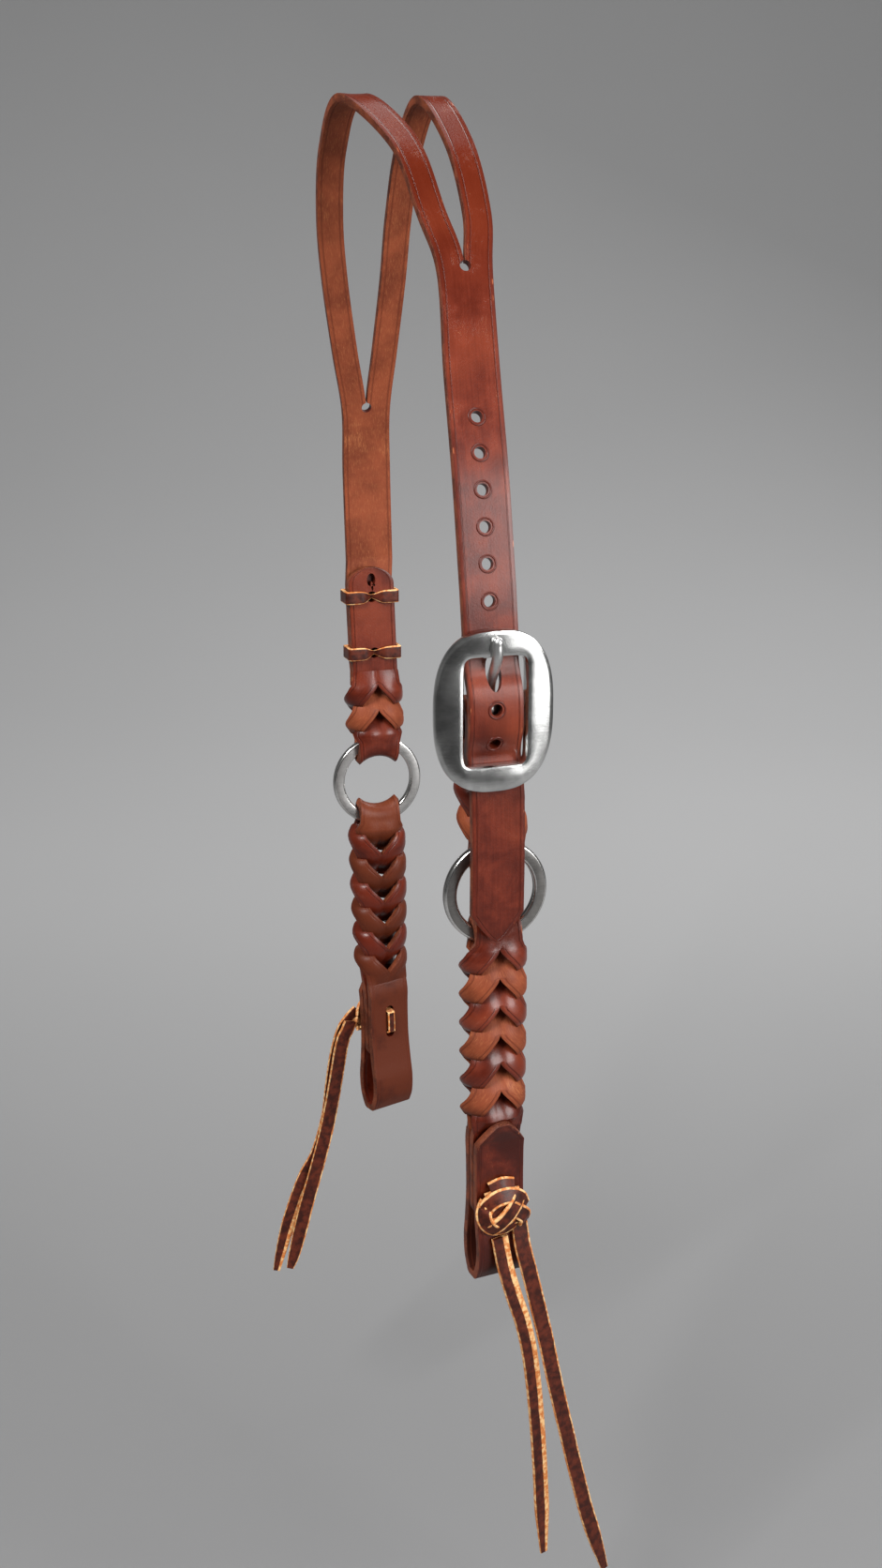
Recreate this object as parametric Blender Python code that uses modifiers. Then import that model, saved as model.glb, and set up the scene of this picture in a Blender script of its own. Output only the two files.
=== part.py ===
# Western split ear headstall in harness leather, hanging as it does on a head.
# Metres, +Z up. The origin is under the crown, where the poll of the horse carries it.
# The near side, with the buckle, is at -Y and the far side at +Y. The horse faces -X.
import math

import bmesh
import bpy
import numpy as np
from mathutils import Matrix, Vector

# Leather
strap_width = 0.0254
leather = 0.0036
fit_gap = 0.0004

# Hang of the whole headstall
cheek_half_span = 0.0955
buckle_drop = 0.2594
buckle_to_ring = 0.0911
ring_drop = buckle_drop + buckle_to_ring
near_ring_x = 0.0
far_ring_x = -0.001
buckle_x = -0.0069

# Rings
ring_outer_radius = 0.0254
ring_band = 0.0062
ring_thickness = 0.004
ring_chamfer = 0.0012
ring_steps = 40

# Strap round a ring
loop_slack = 0.001
loop_depth_share = 1.12
loop_width_share = 0.9
loop_start_share = 0.25

# Slit chain, from the ring outwards
chain_pitch = 0.0145
first_crossing = 0.0092
cheek_crossings = 6
short_crossings = 2
steps_per_pitch = 5
slit_reach_share = 0.48
slit_edge_share = 0.05
band_bulge_share = 1 / 6
chain_joint = 0.0001
weld_distance = 0.00001

# Rounded ends
tip_length = 0.009
narrowest_share = 0.34
tip_place_shares = (1.0, 0.62, 0.28, 0.08, 0.0)

# Bit loops, from the ring's edge
bit_loop_end = 0.1752
cheek_yaw_from = 0.02
cheek_yaw_to = 0.09
near_lean_x = 0.006
near_lean_y = 0.01
near_yaw = math.radians(6)
far_lean_x = 0.018
far_lean_y = -0.02
far_yaw = math.radians(-17)
lace_hole_reach = 0.014

# Crown
arch_steps = 3
slit_from_row = 3
slit_to_row = 11
slit_hole_radius = 0.0026
slit_hole_inset_share = 0.6
punch_radius = 0.0024
punch_reach_share = 1.5
punch_pitch = 0.0161
punch_count = 10
tongue_punch = 7
tongue_hole_above_bar = 0.0165
tongue_slot_length = 0.0175
tongue_slot_radius = 0.0036

# Billet, below the buckle
billet_below_buckle = 0.1116
billet_drop = buckle_drop + billet_below_buckle
billet_tip_length = 0.014
billet_tip_share = 0.14
billet_tip_power = 0.75
billet_steps = 2
billet_lift = 0.0004
billet_lift_shares = (2, 1.5, 1)
billet_tip_x = -0.0028
billet_top_x = -0.0073

# Buckle
buckle_half_width = 0.0282
buckle_half_height = 0.0369
frame_squareness = 2.6
window_half_width = 0.0152
window_half_height = 0.0252
window_squareness = 6.5
buckle_thickness = 0.0036
buckle_crown = 0.0014
buckle_steps = 44
buckle_stand_off = 0.0148
bar_radius = 0.0026
bar_setback = 0.0062
bar_post_inset = 0.0045

# Tongue
tongue_radius = 0.0024
tongue_eye_wall = 0.0026
eye_width_share = 1.12
eye_turn = math.radians(70)
tongue_under_billet = 0.0020
tongue_bend_height = 0.0115
tongue_over_edge = 0.0103
tongue_rest_overhang = 0.001
tongue_tip_shares = (1.0, 1.0, 1.0, 0.96, 0.72)

# Near hanger
hanger_wrap_steps = 8

# Far leg and its tab, above the far ring
far_upper_lean_x = -0.045
far_upper_lean_out = -0.03
far_layer_offset = 0.0021
lower_tie_height = 0.049
tie_spacing = 0.0314
upper_tie_height = lower_tie_height + tie_spacing
far_leg_above_tie = 0.0061
tab_hole_above_tie = 0.0093
tab_end_above_hole = 0.0068
tab_hole_radius = 0.0024
tab_hole_stretch = 1.5
tie_hole_radius = 0.003

# Laces
lace_width = 0.0085
lace_thickness = 0.0022
tie_width = 0.007
tie_thickness = 0.002
tie_dip_share = 0.6
tie_dip_width_shares = (0.45, 0.5)
near_lace_at = 0.136
far_lace_at = 0.120
lace_hole_spread = 0.014
lace_hole_radius = 0.0028
staple_width_share = 0.48
knot_size = 0.024
knot_width_share = 0.85
tail_size = 0.2
tail_tip_share = 0.55
tail_taper_share = 3.0
near_tail_turn = 0.25
far_tail_turn = -0.15

leather_colour = (0.19, 0.055, 0.03, 1.0)
lace_colour = (0.06, 0.022, 0.016, 1.0)
steel_colour = (0.62, 0.61, 0.59, 1.0)


def clear_scene():
    for thing in list(bpy.data.objects):
        bpy.data.objects.remove(thing, do_unlink=True)


def make_collection(name):
    made = bpy.data.collections.new(name)
    bpy.context.scene.collection.children.link(made)
    return made


def make_material(name, colour, roughness, metallic):
    made = bpy.data.materials.new(name)
    made.use_nodes = True
    shader = made.node_tree.nodes["Principled BSDF"]
    shader.inputs["Base Color"].default_value = colour
    shader.inputs["Roughness"].default_value = roughness
    shader.inputs["Metallic"].default_value = metallic
    return made


def add_object(name, mesh, collection, material=None):
    made = bpy.data.objects.new(name, mesh)
    collection.objects.link(made)
    if material is not None:
        mesh.materials.append(material)
    return made


def through(points, per_span, closed=False):
    """A smooth line through the points, with per_span steps between neighbours."""
    points = np.asarray(points, float)
    count = len(points)
    made = []
    spans = count if closed else count - 1
    for i in range(spans):
        if closed:
            a, b, c, d = (points[(i + k) % count] for k in (-1, 0, 1, 2))
        else:
            b, c = points[i], points[i + 1]
            a = points[i - 1] if i else 2 * b - c
            d = points[i + 2] if i + 2 < count else 2 * c - b
        for step in range(per_span):
            t = step / per_span
            made.append(
                0.5 * (2 * b + (c - a) * t + (2 * a - 5 * b + 4 * c - d) * t ** 2
                       + (3 * b - a - 3 * c + d) * t ** 3)
            )
    if not closed:
        made.append(points[-1])
    return np.array(made)


# Half strap sections through one slit and one pass of a leg, over two pitches.
# Each row is the place in pitches from the middle of the slit, then, as shares of half the strap width,
# how far the slit edge and the outer edge lie to the side, and, as shares of the leather's thickness,
# how far the slit edge and the outer edge lie outwards.
slit_section_shares = (
    (-1.00, 0.00, 0.60, 0.00, 0.00),
    (-0.75, 0.00, 0.72, 0.90, 0.80),
    (-0.50, 0.00, 0.90, 1.35, 0.65),
    (-0.25, 0.50, 1.06, 1.62, -0.05),
    (0.00, 0.90, 1.16, 0.30, -0.50),
    (0.25, 0.50, 1.06, -1.62, 0.05),
    (0.50, 0.00, 0.90, -1.35, -0.65),
    (0.75, 0.00, 0.72, -0.90, -0.80),
)


def smooth_table(rows, at):
    """The values of a table that repeats every two units, read at one place."""
    keys = np.array([row[1:] for row in rows])
    count = len(rows)
    place = ((at + 1) % 2) / 2 * count
    i = int(place)
    t = place - i
    a, b, c, d = (keys[(i + k) % count] for k in (-1, 0, 1, 2))
    return 0.5 * (2 * b + (c - a) * t + (2 * a - 5 * b + 4 * c - d) * t ** 2
                  + (3 * b - a - 3 * c + d) * t ** 3)


def section(along, slit_edge, outer_edge, joined, bulge=0.0):
    """Six points across a strap, each (x, along, outwards), from the -X edge to the +X edge."""
    (xi, ni), (xo, no) = slit_edge, outer_edge
    reach = math.hypot(xo - xi, no - ni) or 1.0
    xm = (xi + xo) / 2 - bulge * (no - ni) / reach
    nm = (ni + no) / 2 + bulge * (xo - xi) / reach
    half = [(xi, ni), (xm, nm), (xo, no)]
    left = [(-x, along, n) for x, n in reversed(half)]
    right = [(x, along, n) for x, n in half]
    return {"points": left + right, "joined": joined}


def flat_section(along, outwards, width_share=1.0, cup=0.0):
    half = strap_width / 2 * width_share
    return section(along, (0.0, outwards), (half, outwards - cup), True, cup / 4)


def chain_leg(inner_leg, crossings, first, last):
    """Sections of one leg of a slit chain between two places along it, nearest the ring first."""
    made = []
    start = first_crossing - chain_pitch / 2
    count = (crossings) * steps_per_pitch + 1
    for i in range(count):
        along = start + i * chain_pitch / steps_per_pitch
        if not first <= along <= last:
            continue
        turn = (along - first_crossing) / chain_pitch - (1 if inner_leg else 0)
        xi, xo, ni, no = smooth_table(slit_section_shares, turn)
        nearest = round(turn / 2) * 2 + (1 if inner_leg else 0)
        slit_here = 0 <= nearest <= crossings - 1
        in_slit = ((turn + 1) % 2) - 1
        joined = not slit_here or abs(in_slit) >= slit_reach_share
        half = strap_width / 2
        edge = (0.0 if joined else max(xi * half, leather * slit_edge_share), ni * leather)
        made.append(section(along, edge, (xo * half, no * leather), joined, leather * band_bulge_share))
    return made


def ring_loop(steps=6):
    """Sections round a ring's band, from the outer leg to the inner leg."""
    radius = ring_thickness / 2 + loop_slack + leather / 2
    top = -ring_band - loop_slack - leather / 2
    centre = top + radius
    inside = ring_outer_radius + top
    half = strap_width / 2 * loop_width_share
    made = []
    stations = [(loop_start_share * centre, radius, loop_start_share)]
    for i in range(steps + 1):
        turn = math.pi * i / steps
        stations.append((centre - loop_depth_share * radius * math.sin(turn), radius * math.cos(turn),
                         0.5 + 0.5 * math.sin(turn)))
    stations.append((loop_start_share * centre, -radius, loop_start_share))
    for along, outwards, rise in stations:
        points = []
        for x in (-half, -half / 2, 0.0, 0.0, half / 2, half):
            lift = inside - math.sqrt(inside ** 2 - x ** 2)
            points.append((x, along - rise * lift, outwards))
        made.append({"points": points, "joined": True})
    return made


def line_leg(places, per_span, rounded_end=False):
    """Flat sections along a smooth line of (along, outwards) places, the last one rounded if asked."""
    line = through(places, per_span)
    line[:, 0] = np.minimum(line[:, 0], max(place[0] for place in places))
    made = [flat_section(*place) for place in line]
    if rounded_end:
        tip = line[-1]
        back = (line[-2] - tip) / np.linalg.norm(line[-2] - tip)
        made = [flat_section(*place) for place in line if np.linalg.norm(place - tip) > tip_length]
        for share in tip_place_shares:
            place = tip + back * tip_length * share
            made.append(flat_section(*place, width_share=end_width(share)))
    return made


def end_width(share):
    """Width of a rounded end at a share of its length back from the tip."""
    return max(narrowest_share, math.sqrt(1 - (1 - share) ** 2))


def placed(sections, place):
    return [{"points": [place(*p) for p in s["points"]], "joined": s["joined"]} for s in sections]


def strap_solid(name, sections, thickness, collection, material):
    """An open sheet through the sections, given its thickness."""
    mesh = bpy.data.meshes.new(name)
    vertices, faces, rows = [], [], []
    for s in sections:
        row = []
        for i, point in enumerate(s["points"]):
            if i == 3 and s["joined"]:
                row.append(row[2])
                continue
            row.append(len(vertices))
            vertices.append(tuple(point))
        rows.append(row)
    for low, high in zip(rows, rows[1:]):
        for i in (0, 1, 3, 4):
            faces.append((low[i], low[i + 1], high[i + 1], high[i]))
    mesh.from_pydata(vertices, [], faces)
    made = add_object(name, mesh, collection, material)
    shell = made.modifiers.new("thickness", "SOLIDIFY")
    shell.thickness = thickness
    shell.offset = 0.0
    shell.use_quality_normals = True
    shell.use_even_offset = True
    return made


def ribbon_solid(name, centres, sideways, width, thickness, collection, material, closed=False):
    """A flat lace along the centres. sideways holds the direction across it and its width share there."""
    mesh = bpy.data.meshes.new(name)
    vertices, faces = [], []
    for centre, (direction, share) in zip(centres, sideways):
        across = Vector(direction).normalized() * width / 2 * share
        vertices += [tuple(Vector(centre) - across), tuple(Vector(centre) + across)]
    count = len(centres)
    for i in range(count if closed else count - 1):
        a, b = 2 * i, 2 * ((i + 1) % count)
        faces.append((a, a + 1, b + 1, b))
    mesh.from_pydata(vertices, [], faces)
    made = add_object(name, mesh, collection, material)
    shell = made.modifiers.new("thickness", "SOLIDIFY")
    shell.thickness = thickness
    shell.offset = 0.0
    shell.use_quality_normals = True
    return made


def cheek_place(ring_x, side, upwards, lean_x=0.0, lean_out=0.0, yaw=0.0, yaw_from=0.0, yaw_to=1.0):
    """Turns (x, along, outwards) of a cheek, measured from its ring's edge, into a place in the world."""
    def place(x, along, outwards):
        t = min(max((along - yaw_from) / (yaw_to - yaw_from), 0.0), 1.0)
        turn = yaw * t * t * (3 - 2 * t)
        x, outwards = (x * math.cos(turn) + outwards * math.sin(turn),
                       outwards * math.cos(turn) - x * math.sin(turn))
        clear = max(along, 0.0)
        z = -ring_drop + (1 if upwards else -1) * (ring_outer_radius + along)
        y = side * (cheek_half_span + outwards + lean_out * clear)
        return (ring_x + x + lean_x * clear, y, z)
    return place


def cylinder(name, radius, start, end, collection, sides=20, stretch=1.0, stretch_axis=None):
    start, end = Vector(start), Vector(end)
    bpy.ops.mesh.primitive_cylinder_add(vertices=sides, radius=radius, depth=(end - start).length)
    made = bpy.context.object
    made.name = name
    axis = (end - start).normalized()
    turn = axis.to_track_quat("Z", "Y").to_matrix().to_4x4()
    if stretch_axis is not None:
        side = Vector(stretch_axis)
        side = (side - side.dot(axis) * axis).normalized()
        turn = Matrix((side, axis.cross(side), axis)).transposed().to_4x4()
        made.data.transform(Matrix.Diagonal((stretch, 1.0, 1.0, 1.0)))
    made.data.transform(Matrix.Translation((start + end) / 2) @ turn)
    for old in list(made.users_collection):
        old.objects.unlink(made)
    collection.objects.link(made)
    return made


def as_cutter(made):
    made.hide_render = True
    made.display_type = "WIRE"
    return made


def cut(target, cutter):
    hole = target.modifiers.new("cut " + cutter.name, "BOOLEAN")
    hole.operation = "DIFFERENCE"
    hole.object = cutter


def joined_with(target, other):
    more = target.modifiers.new("join " + other.name, "BOOLEAN")
    more.operation = "UNION"
    more.object = other


def make_ring(name, x, side, collection, material):
    half, inner = ring_thickness / 2, ring_outer_radius - ring_band
    profile = [
        (ring_outer_radius - ring_chamfer, half), (ring_outer_radius, half - ring_chamfer),
        (ring_outer_radius, -half + ring_chamfer), (ring_outer_radius - ring_chamfer, -half),
        (inner + ring_chamfer, -half), (inner, -half + ring_chamfer),
        (inner, half - ring_chamfer), (inner + ring_chamfer, half),
    ]
    mesh = bpy.data.meshes.new(name)
    count = len(profile)
    mesh.from_pydata([(r, 0, z) for r, z in profile], [(i, (i + 1) % count) for i in range(count)], [])
    made = add_object(name, mesh, collection, material)
    turned = made.modifiers.new("turned", "SCREW")
    turned.steps = ring_steps
    turned.render_steps = ring_steps
    turned.use_merge_vertices = True
    turned.merge_threshold = weld_distance
    made.rotation_euler = (math.pi / 2, 0, 0)
    made.location = (x, side * cheek_half_span, -ring_drop)
    return made


def rounded_box_point(turn, half_width, half_height, power):
    c, s = math.cos(turn), math.sin(turn)
    return (half_width * math.copysign(abs(c) ** (2 / power), c),
            half_height * math.copysign(abs(s) ** (2 / power), s))


# The frame's section as shares: across from the window to the rim, of its thickness, and of its crown
frame_section_shares = (
    (0.00, -0.50, 0.00), (0.00, 0.32, 0.00), (0.30, 0.50, 0.50), (0.55, 0.50, 1.00), (0.82, 0.50, 0.60),
    (1.00, 0.10, 0.00), (1.00, -0.50, 0.00),
)


def make_buckle(collection, cutters, material):
    """Oval frame with a crowned flange round its window, and the bar set back behind the window."""
    y = -cheek_half_span - buckle_stand_off
    mesh = bpy.data.meshes.new("buckle_frame")
    vertices, faces = [], []
    for step in range(buckle_steps):
        turn = 2 * math.pi * (step + 0.5) / buckle_steps
        inner = rounded_box_point(turn, window_half_width, window_half_height, window_squareness)
        outer = rounded_box_point(turn, buckle_half_width, buckle_half_height, frame_squareness)
        for across, depth, crown in frame_section_shares:
            x = buckle_x + inner[0] + (outer[0] - inner[0]) * across
            z = inner[1] + (outer[1] - inner[1]) * across
            vertices.append((x, y - depth * buckle_thickness - crown * buckle_crown, z - buckle_drop))
    count = len(frame_section_shares)
    for step in range(buckle_steps):
        a, b = step * count, ((step + 1) % buckle_steps) * count
        for i in range(count):
            j = (i + 1) % count
            faces.append((a + i, a + j, b + j, b + i))
    mesh.from_pydata(vertices, [], faces)
    frame = add_object("buckle_frame", mesh, collection, material)

    reach = window_half_width + bar_post_inset
    bar_y = y + bar_setback
    route = [(-reach, y, 0), (-reach, bar_y - bar_radius, 0), (-reach + bar_radius, bar_y, 0),
             (reach - bar_radius, bar_y, 0), (reach, bar_y - bar_radius, 0), (reach, y, 0)]
    bar = tube("centre_bar", route, bar_radius, cutters)
    bar.location = (buckle_x, 0, -buckle_drop)
    joined_with(frame, as_cutter(bar))
    return frame


def tube(name, route, radius, collection, radii=None, resolution=2):
    """A closed round tube along the route, as a mesh."""
    curve = bpy.data.curves.new(name, "CURVE")
    curve.dimensions = "3D"
    curve.bevel_depth = radius
    curve.bevel_resolution = resolution
    curve.use_fill_caps = True
    spline = curve.splines.new("POLY")
    spline.points.add(len(route) - 1)
    for i, place in enumerate(route):
        spline.points[i].co = (*place, 1)
        spline.points[i].radius = radii[i] if radii else 1.0
    drawn = bpy.data.objects.new(name + "_line", curve)
    collection.objects.link(drawn)
    bpy.context.view_layer.update()
    mesh = bpy.data.meshes.new_from_object(drawn.evaluated_get(bpy.context.evaluated_depsgraph_get()))
    bpy.data.objects.remove(drawn, do_unlink=True)
    work = bmesh.new()
    work.from_mesh(mesh)
    bmesh.ops.remove_doubles(work, verts=work.verts, dist=weld_distance)
    bmesh.ops.recalc_face_normals(work, faces=work.faces)
    work.to_mesh(mesh)
    work.free()
    mesh.name = name
    return add_object(name, mesh, collection)


def buckle_levels():
    """How far the billet lies outside the ring's plane behind the frame, and over the centre bar."""
    behind = buckle_stand_off - buckle_thickness / 2 - fit_gap - leather / 2
    bar = buckle_stand_off - bar_setback
    over = bar + bar_radius + leather + 2 * fit_gap + leather / 2
    return behind, bar, over


# Places over the buckle as shares of half the frame's height, of the rise over the centre bar, and of
# the way across from the tip to the top
billet_rise_shares = (
    (-1.05, 0.00, 0.17), (-0.64, 0.00, 0.55), (-0.46, 0.30, 0.74), (-0.24, 0.86, 0.86), (0.00, 1.00, 0.90),
    (0.24, 0.86, 0.93), (0.44, 0.34, 0.96), (0.62, 0.03, 0.98), (1.00, -0.10, 1.00),
)


def billet_line():
    """Places of the near strap as (outwards, z, x), from the tip to the top of the buckle."""
    behind, bar, over = buckle_levels()
    tip_end = -billet_drop + billet_tip_length
    frame_end = -buckle_drop - buckle_half_height
    heights = (-billet_drop, tip_end, (frame_end + tip_end) / 2)
    rows = [(behind - billet_lift * share, z, billet_tip_x) for share, z in zip(billet_lift_shares, heights)]
    for share, level, across in billet_rise_shares:
        z = -buckle_drop + buckle_half_height * share
        x = billet_tip_x + (billet_top_x - billet_tip_x) * across
        rows.append((behind + (over - behind) * level, z, x))
    return rows


# Places over the head as shares of half the cheek span, of the ring's drop, and of the strap's width
# for how far the front half and the rear half lie from where an unslit strap would have them.
arch_shares = (
    (-1.085, -0.589, -0.30, -0.30), (-0.955, -0.4505, -0.276, -0.276), (-0.760, -0.328, -0.185, -0.185),
    (-0.560, -0.208, -0.06, -0.06), (-0.430, -0.138, -0.26, 0.08), (-0.250, -0.050, -0.56, -0.03),
    (0.000, 0.0051, -1.23, -0.28), (0.260, -0.052, -1.32, -0.36), (0.450, -0.140, -1.21, -0.35),
    (0.600, -0.225, -0.98, -0.30), (0.745, -0.325, -0.65, -0.32), (0.860, -0.412, -0.35, -0.35),
    (0.945, -0.505, -0.26, -0.26), (1.012, -0.645, -0.15, -0.15),
)


def arch_rows():
    """(y, z, x of the front half, x of the rear half) over the head, from the buckle to the far tab."""
    half = strap_width / 4
    rows = []
    for y, z, front, rear in arch_shares:
        rows.append((y * cheek_half_span, z * ring_drop, front * strap_width - half,
                     rear * strap_width + half))
    return rows


def arch_sections():
    rows = arch_rows()
    steps = arch_steps
    line = through([(y, z, f, r) for y, z, f, r in rows], steps)
    made = []
    for i, (y, z, front, rear) in enumerate(line):
        ahead = line[min(i + 1, len(line) - 1)] - line[max(i - 1, 0)]
        joined = not slit_from_row * steps < i < slit_to_row * steps
        halves = []
        for middle, slope in ((front, ahead[2]), (rear, ahead[3])):
            along = Vector((slope, ahead[0], ahead[1])).normalized()
            across = (Vector((1, 0, 0)) - along * along.x).normalized() * strap_width / 4
            centre = Vector((middle, y, z))
            halves += [tuple(centre - across), tuple(centre), tuple(centre + across)]
        made.append({"points": halves, "joined": joined})
    return made


def billet_sections():
    line = through(billet_line(), billet_steps)
    made = []
    for outwards, z, x in line[:-1]:
        back = (z + billet_drop) / billet_tip_length
        share = 1.0 if back >= 1 else billet_tip_share + (1 - billet_tip_share) * back ** billet_tip_power
        half = strap_width / 2 * share
        y = -cheek_half_span - outwards
        points = [(x + across, y, z) for across in (-half, -half / 2, 0, 0, half / 2, half)]
        made.append({"points": points, "joined": True})
    return made


def chain_end(crossings):
    """Where a leg leaves its last slit, from the ring's edge."""
    return first_crossing + (crossings - 0.5) * chain_pitch


def crown_sections():
    place = cheek_place(far_ring_x, 1, True, far_upper_lean_x, far_upper_lean_out)
    above_chain = first_crossing + short_crossings * chain_pitch
    top = upper_tie_height + far_leg_above_tie
    legs = line_leg([(top, far_layer_offset), (above_chain, far_layer_offset)], 3)
    legs += reversed(chain_leg(False, short_crossings, 0, chain_end(short_crossings)))
    legs += ring_loop()
    legs += chain_leg(True, short_crossings, 0, chain_end(short_crossings))
    tab_end = upper_tie_height + tab_hole_above_tie + tab_end_above_hole
    heights = (above_chain, lower_tie_height, upper_tie_height, tab_end)
    legs += line_leg([(height, -far_layer_offset) for height in heights], 3, rounded_end=True)
    return billet_sections() + arch_sections() + placed(legs, place)


def middle_line(sections):
    return np.array([(np.array(s["points"][2]) + np.array(s["points"][3])) / 2 for s in sections])


def at_length(line, length):
    """The place and direction at a length along a line."""
    steps = np.linalg.norm(np.diff(line, axis=0), axis=1)
    ends = np.concatenate([[0], np.cumsum(steps)])
    i = int(np.clip(np.searchsorted(ends, length) - 1, 0, len(steps) - 1))
    t = (length - ends[i]) / steps[i]
    return line[i] + (line[i + 1] - line[i]) * t, (line[i + 1] - line[i]) / steps[i]


def punch(target, name, line, length, cutters, stretch=1.0, radius=None):
    place, along = at_length(line, length)
    through_it = Vector((1, 0, 0)).cross(Vector(along)).normalized() * leather * punch_reach_share
    cutter = cylinder(name, radius or punch_radius, Vector(place) - through_it, Vector(place) + through_it,
                      cutters, sides=14, stretch=stretch, stretch_axis=tuple(along))
    cut(target, as_cutter(cutter))
    return place


def make_crown(collection, cutters, material):
    sections = crown_sections()
    crown = strap_solid("crown_strap", sections, leather, collection, material)
    billet = billet_sections()
    line = middle_line(billet + arch_sections()[:slit_from_row * arch_steps])
    lengths = np.concatenate([[0], np.cumsum(np.linalg.norm(np.diff(line, axis=0), axis=1))])
    tongue_z = -buckle_drop + tongue_hole_above_bar
    tongue_at = float(np.interp(tongue_z, line[:, 2], lengths))
    for i in range(punch_count):
        step = i - (punch_count - 1 - tongue_punch)
        is_tongue = step == 0
        punch(crown, f"punch_{i + 1}", line, tongue_at + step * punch_pitch, cutters,
              stretch=tongue_slot_length / 2 / tongue_slot_radius if is_tongue else 1.0,
              radius=tongue_slot_radius if is_tongue else None)
    full = middle_line(arch_sections())
    inset = slit_hole_radius * slit_hole_inset_share
    for name, row, into in (("near_slit_hole", slit_from_row, inset), ("far_slit_hole", slit_to_row, -inset)):
        i = row * arch_steps
        steps = np.linalg.norm(np.diff(full[:i + 1], axis=0), axis=1).sum()
        punch(crown, name, full, steps + into, cutters, radius=slit_hole_radius)
    place = cheek_place(far_ring_x, 1, True, far_upper_lean_x, far_upper_lean_out)
    reach = far_layer_offset + leather
    for name, height, radius in (("upper_tie_hole", upper_tie_height, tie_hole_radius),
                                 ("lower_tie_hole", lower_tie_height, tie_hole_radius)):
        cutter = cylinder(name, radius, place(0, height, -reach), place(0, height, reach), cutters, sides=14)
        cut(crown, as_cutter(cutter))
    height = upper_tie_height + tab_hole_above_tie
    cutter = cylinder("tab_hole", tab_hole_radius, place(0, height, -reach), place(0, height, 0), cutters,
                      sides=12, stretch=tab_hole_stretch, stretch_axis=(0, 0, 1))
    cut(crown, as_cutter(cutter))
    return crown


def make_tie(name, height, collection, material):
    """A lace round both layers of the far tab, drawn down into the hole between them."""
    place = cheek_place(far_ring_x, 1, True, far_upper_lean_x, far_upper_lean_out)
    side = strap_width / 2 + fit_gap + tie_thickness / 2
    out = far_layer_offset + leather / 2 + fit_gap + tie_thickness / 2
    corner = tie_thickness / 2
    in_hole, at_hole = tie_dip_width_shares
    dip = tie_hole_radius * tie_dip_share
    wide = 2 * tie_hole_radius
    outline = [
        (0, -out + leather * tie_dip_share, in_hole), (-dip, -out, at_hole),
        (-wide, -out, 1), (-side + corner, -out, 1), (-side, -out + corner, 1), (-side, out - corner, 1),
        (-side + corner, out, 1), (0, out, 1), (side - corner, out, 1), (side, out - corner, 1),
        (side, -out + corner, 1), (side - corner, -out, 1), (wide, -out, 1), (dip, -out, at_hole),
    ]
    centres = [place(x, height, n) for x, n, _ in outline]
    across = [((0, 0, 1), share) for _, _, share in outline]
    return ribbon_solid(name, centres, across, tie_width, tie_thickness, collection, material, closed=True)


# Legs below the chain as shares of the bit loop's length below it and of the leather's thickness
middle_tab_shares = (
    (0.075, 0.444), (0.172, 0.056), (0.402, 0.000), (0.654, 0.000),
)
loop_leg_shares = (
    (0.075, -1.000), (0.161, -1.333), (0.276, -1.194), (0.482, -1.167), (0.654, -1.556), (0.791, -2.000),
    (0.906, -1.833), (0.981, -1.111),
)
loop_bottom_share = 0.667
outer_leg_from = 3
outer_tip_shares = (
    (0.276, 1.194), (0.161, 1.400), (0.018, 2.420),
)


def below_chain(rows):
    """Places of a leg of the bit loop as (along, outwards), in metres."""
    start = chain_end(cheek_crossings)
    length = bit_loop_end - leather / 2 - start
    return [(start + length * along, leather * outwards) for along, outwards in rows]


def bit_loop_line():
    """The looping leg below its chain: down the inner side, round, and up the outer side."""
    down = below_chain(loop_leg_shares)
    bottom = below_chain([(1, -loop_bottom_share), (1, loop_bottom_share)])
    up = [(s, -n) for s, n in reversed(down[outer_leg_from:])]
    return down + bottom + up + below_chain(outer_tip_shares)


def bit_loop_place(ring_x, side, lean, yaw):
    return cheek_place(ring_x, side, False, *lean, yaw, cheek_yaw_from, cheek_yaw_to)


def make_cheek(name, ring_x, side, lean, yaw, lace_at, collection, cutters, material):
    place = bit_loop_place(ring_x, side, lean, yaw)
    end = chain_end(cheek_crossings) + chain_joint
    sections = list(reversed(line_leg(below_chain(middle_tab_shares), 2, rounded_end=True)))
    sections += reversed(chain_leg(False, cheek_crossings, 0, end))
    sections += ring_loop()
    sections += chain_leg(True, cheek_crossings, 0, end)
    sections += line_leg(bit_loop_line(), 2, rounded_end=True)
    cheek = strap_solid(name, placed(sections, place), leather, collection, material)
    for label, sign in (("upper", -1), ("lower", 1)):
        along = lace_at + sign * lace_hole_spread / 2
        cutter = cylinder(f"{name}_lace_hole_{label}", lace_hole_radius, place(0, along, -lace_hole_reach),
                          place(0, along, lace_hole_reach), cutters, sides=14)
        cut(cheek, as_cutter(cutter))
    return cheek


# The near hanger's leg ends as shares of the strap's width below the centre bar, and of the leather's
# thickness outwards: the outer leg from the ring's plane, the loose end from the back of the fold, and
# the middle end, which lies between them.
hanger_outer_shares = ((-0.823, 1.833), (-0.587, 2.583), (-0.449, 3.028))
hanger_loose_shares = (
    (-0.232, 0.000), (-0.429, -0.472), (-0.626, -1.194), (-0.823, -2.056), (-1.039, -3.333),
)
hanger_middle_shares = ((-0.862, 0.250), (-0.665, 1.056), (-0.449, 1.722))
hanger_outer_start_shares = (0.138, 1.167)
hanger_middle_start_shares = (0.177, -0.611)
fold_start_shares = (0.197, 0.93)


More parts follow.
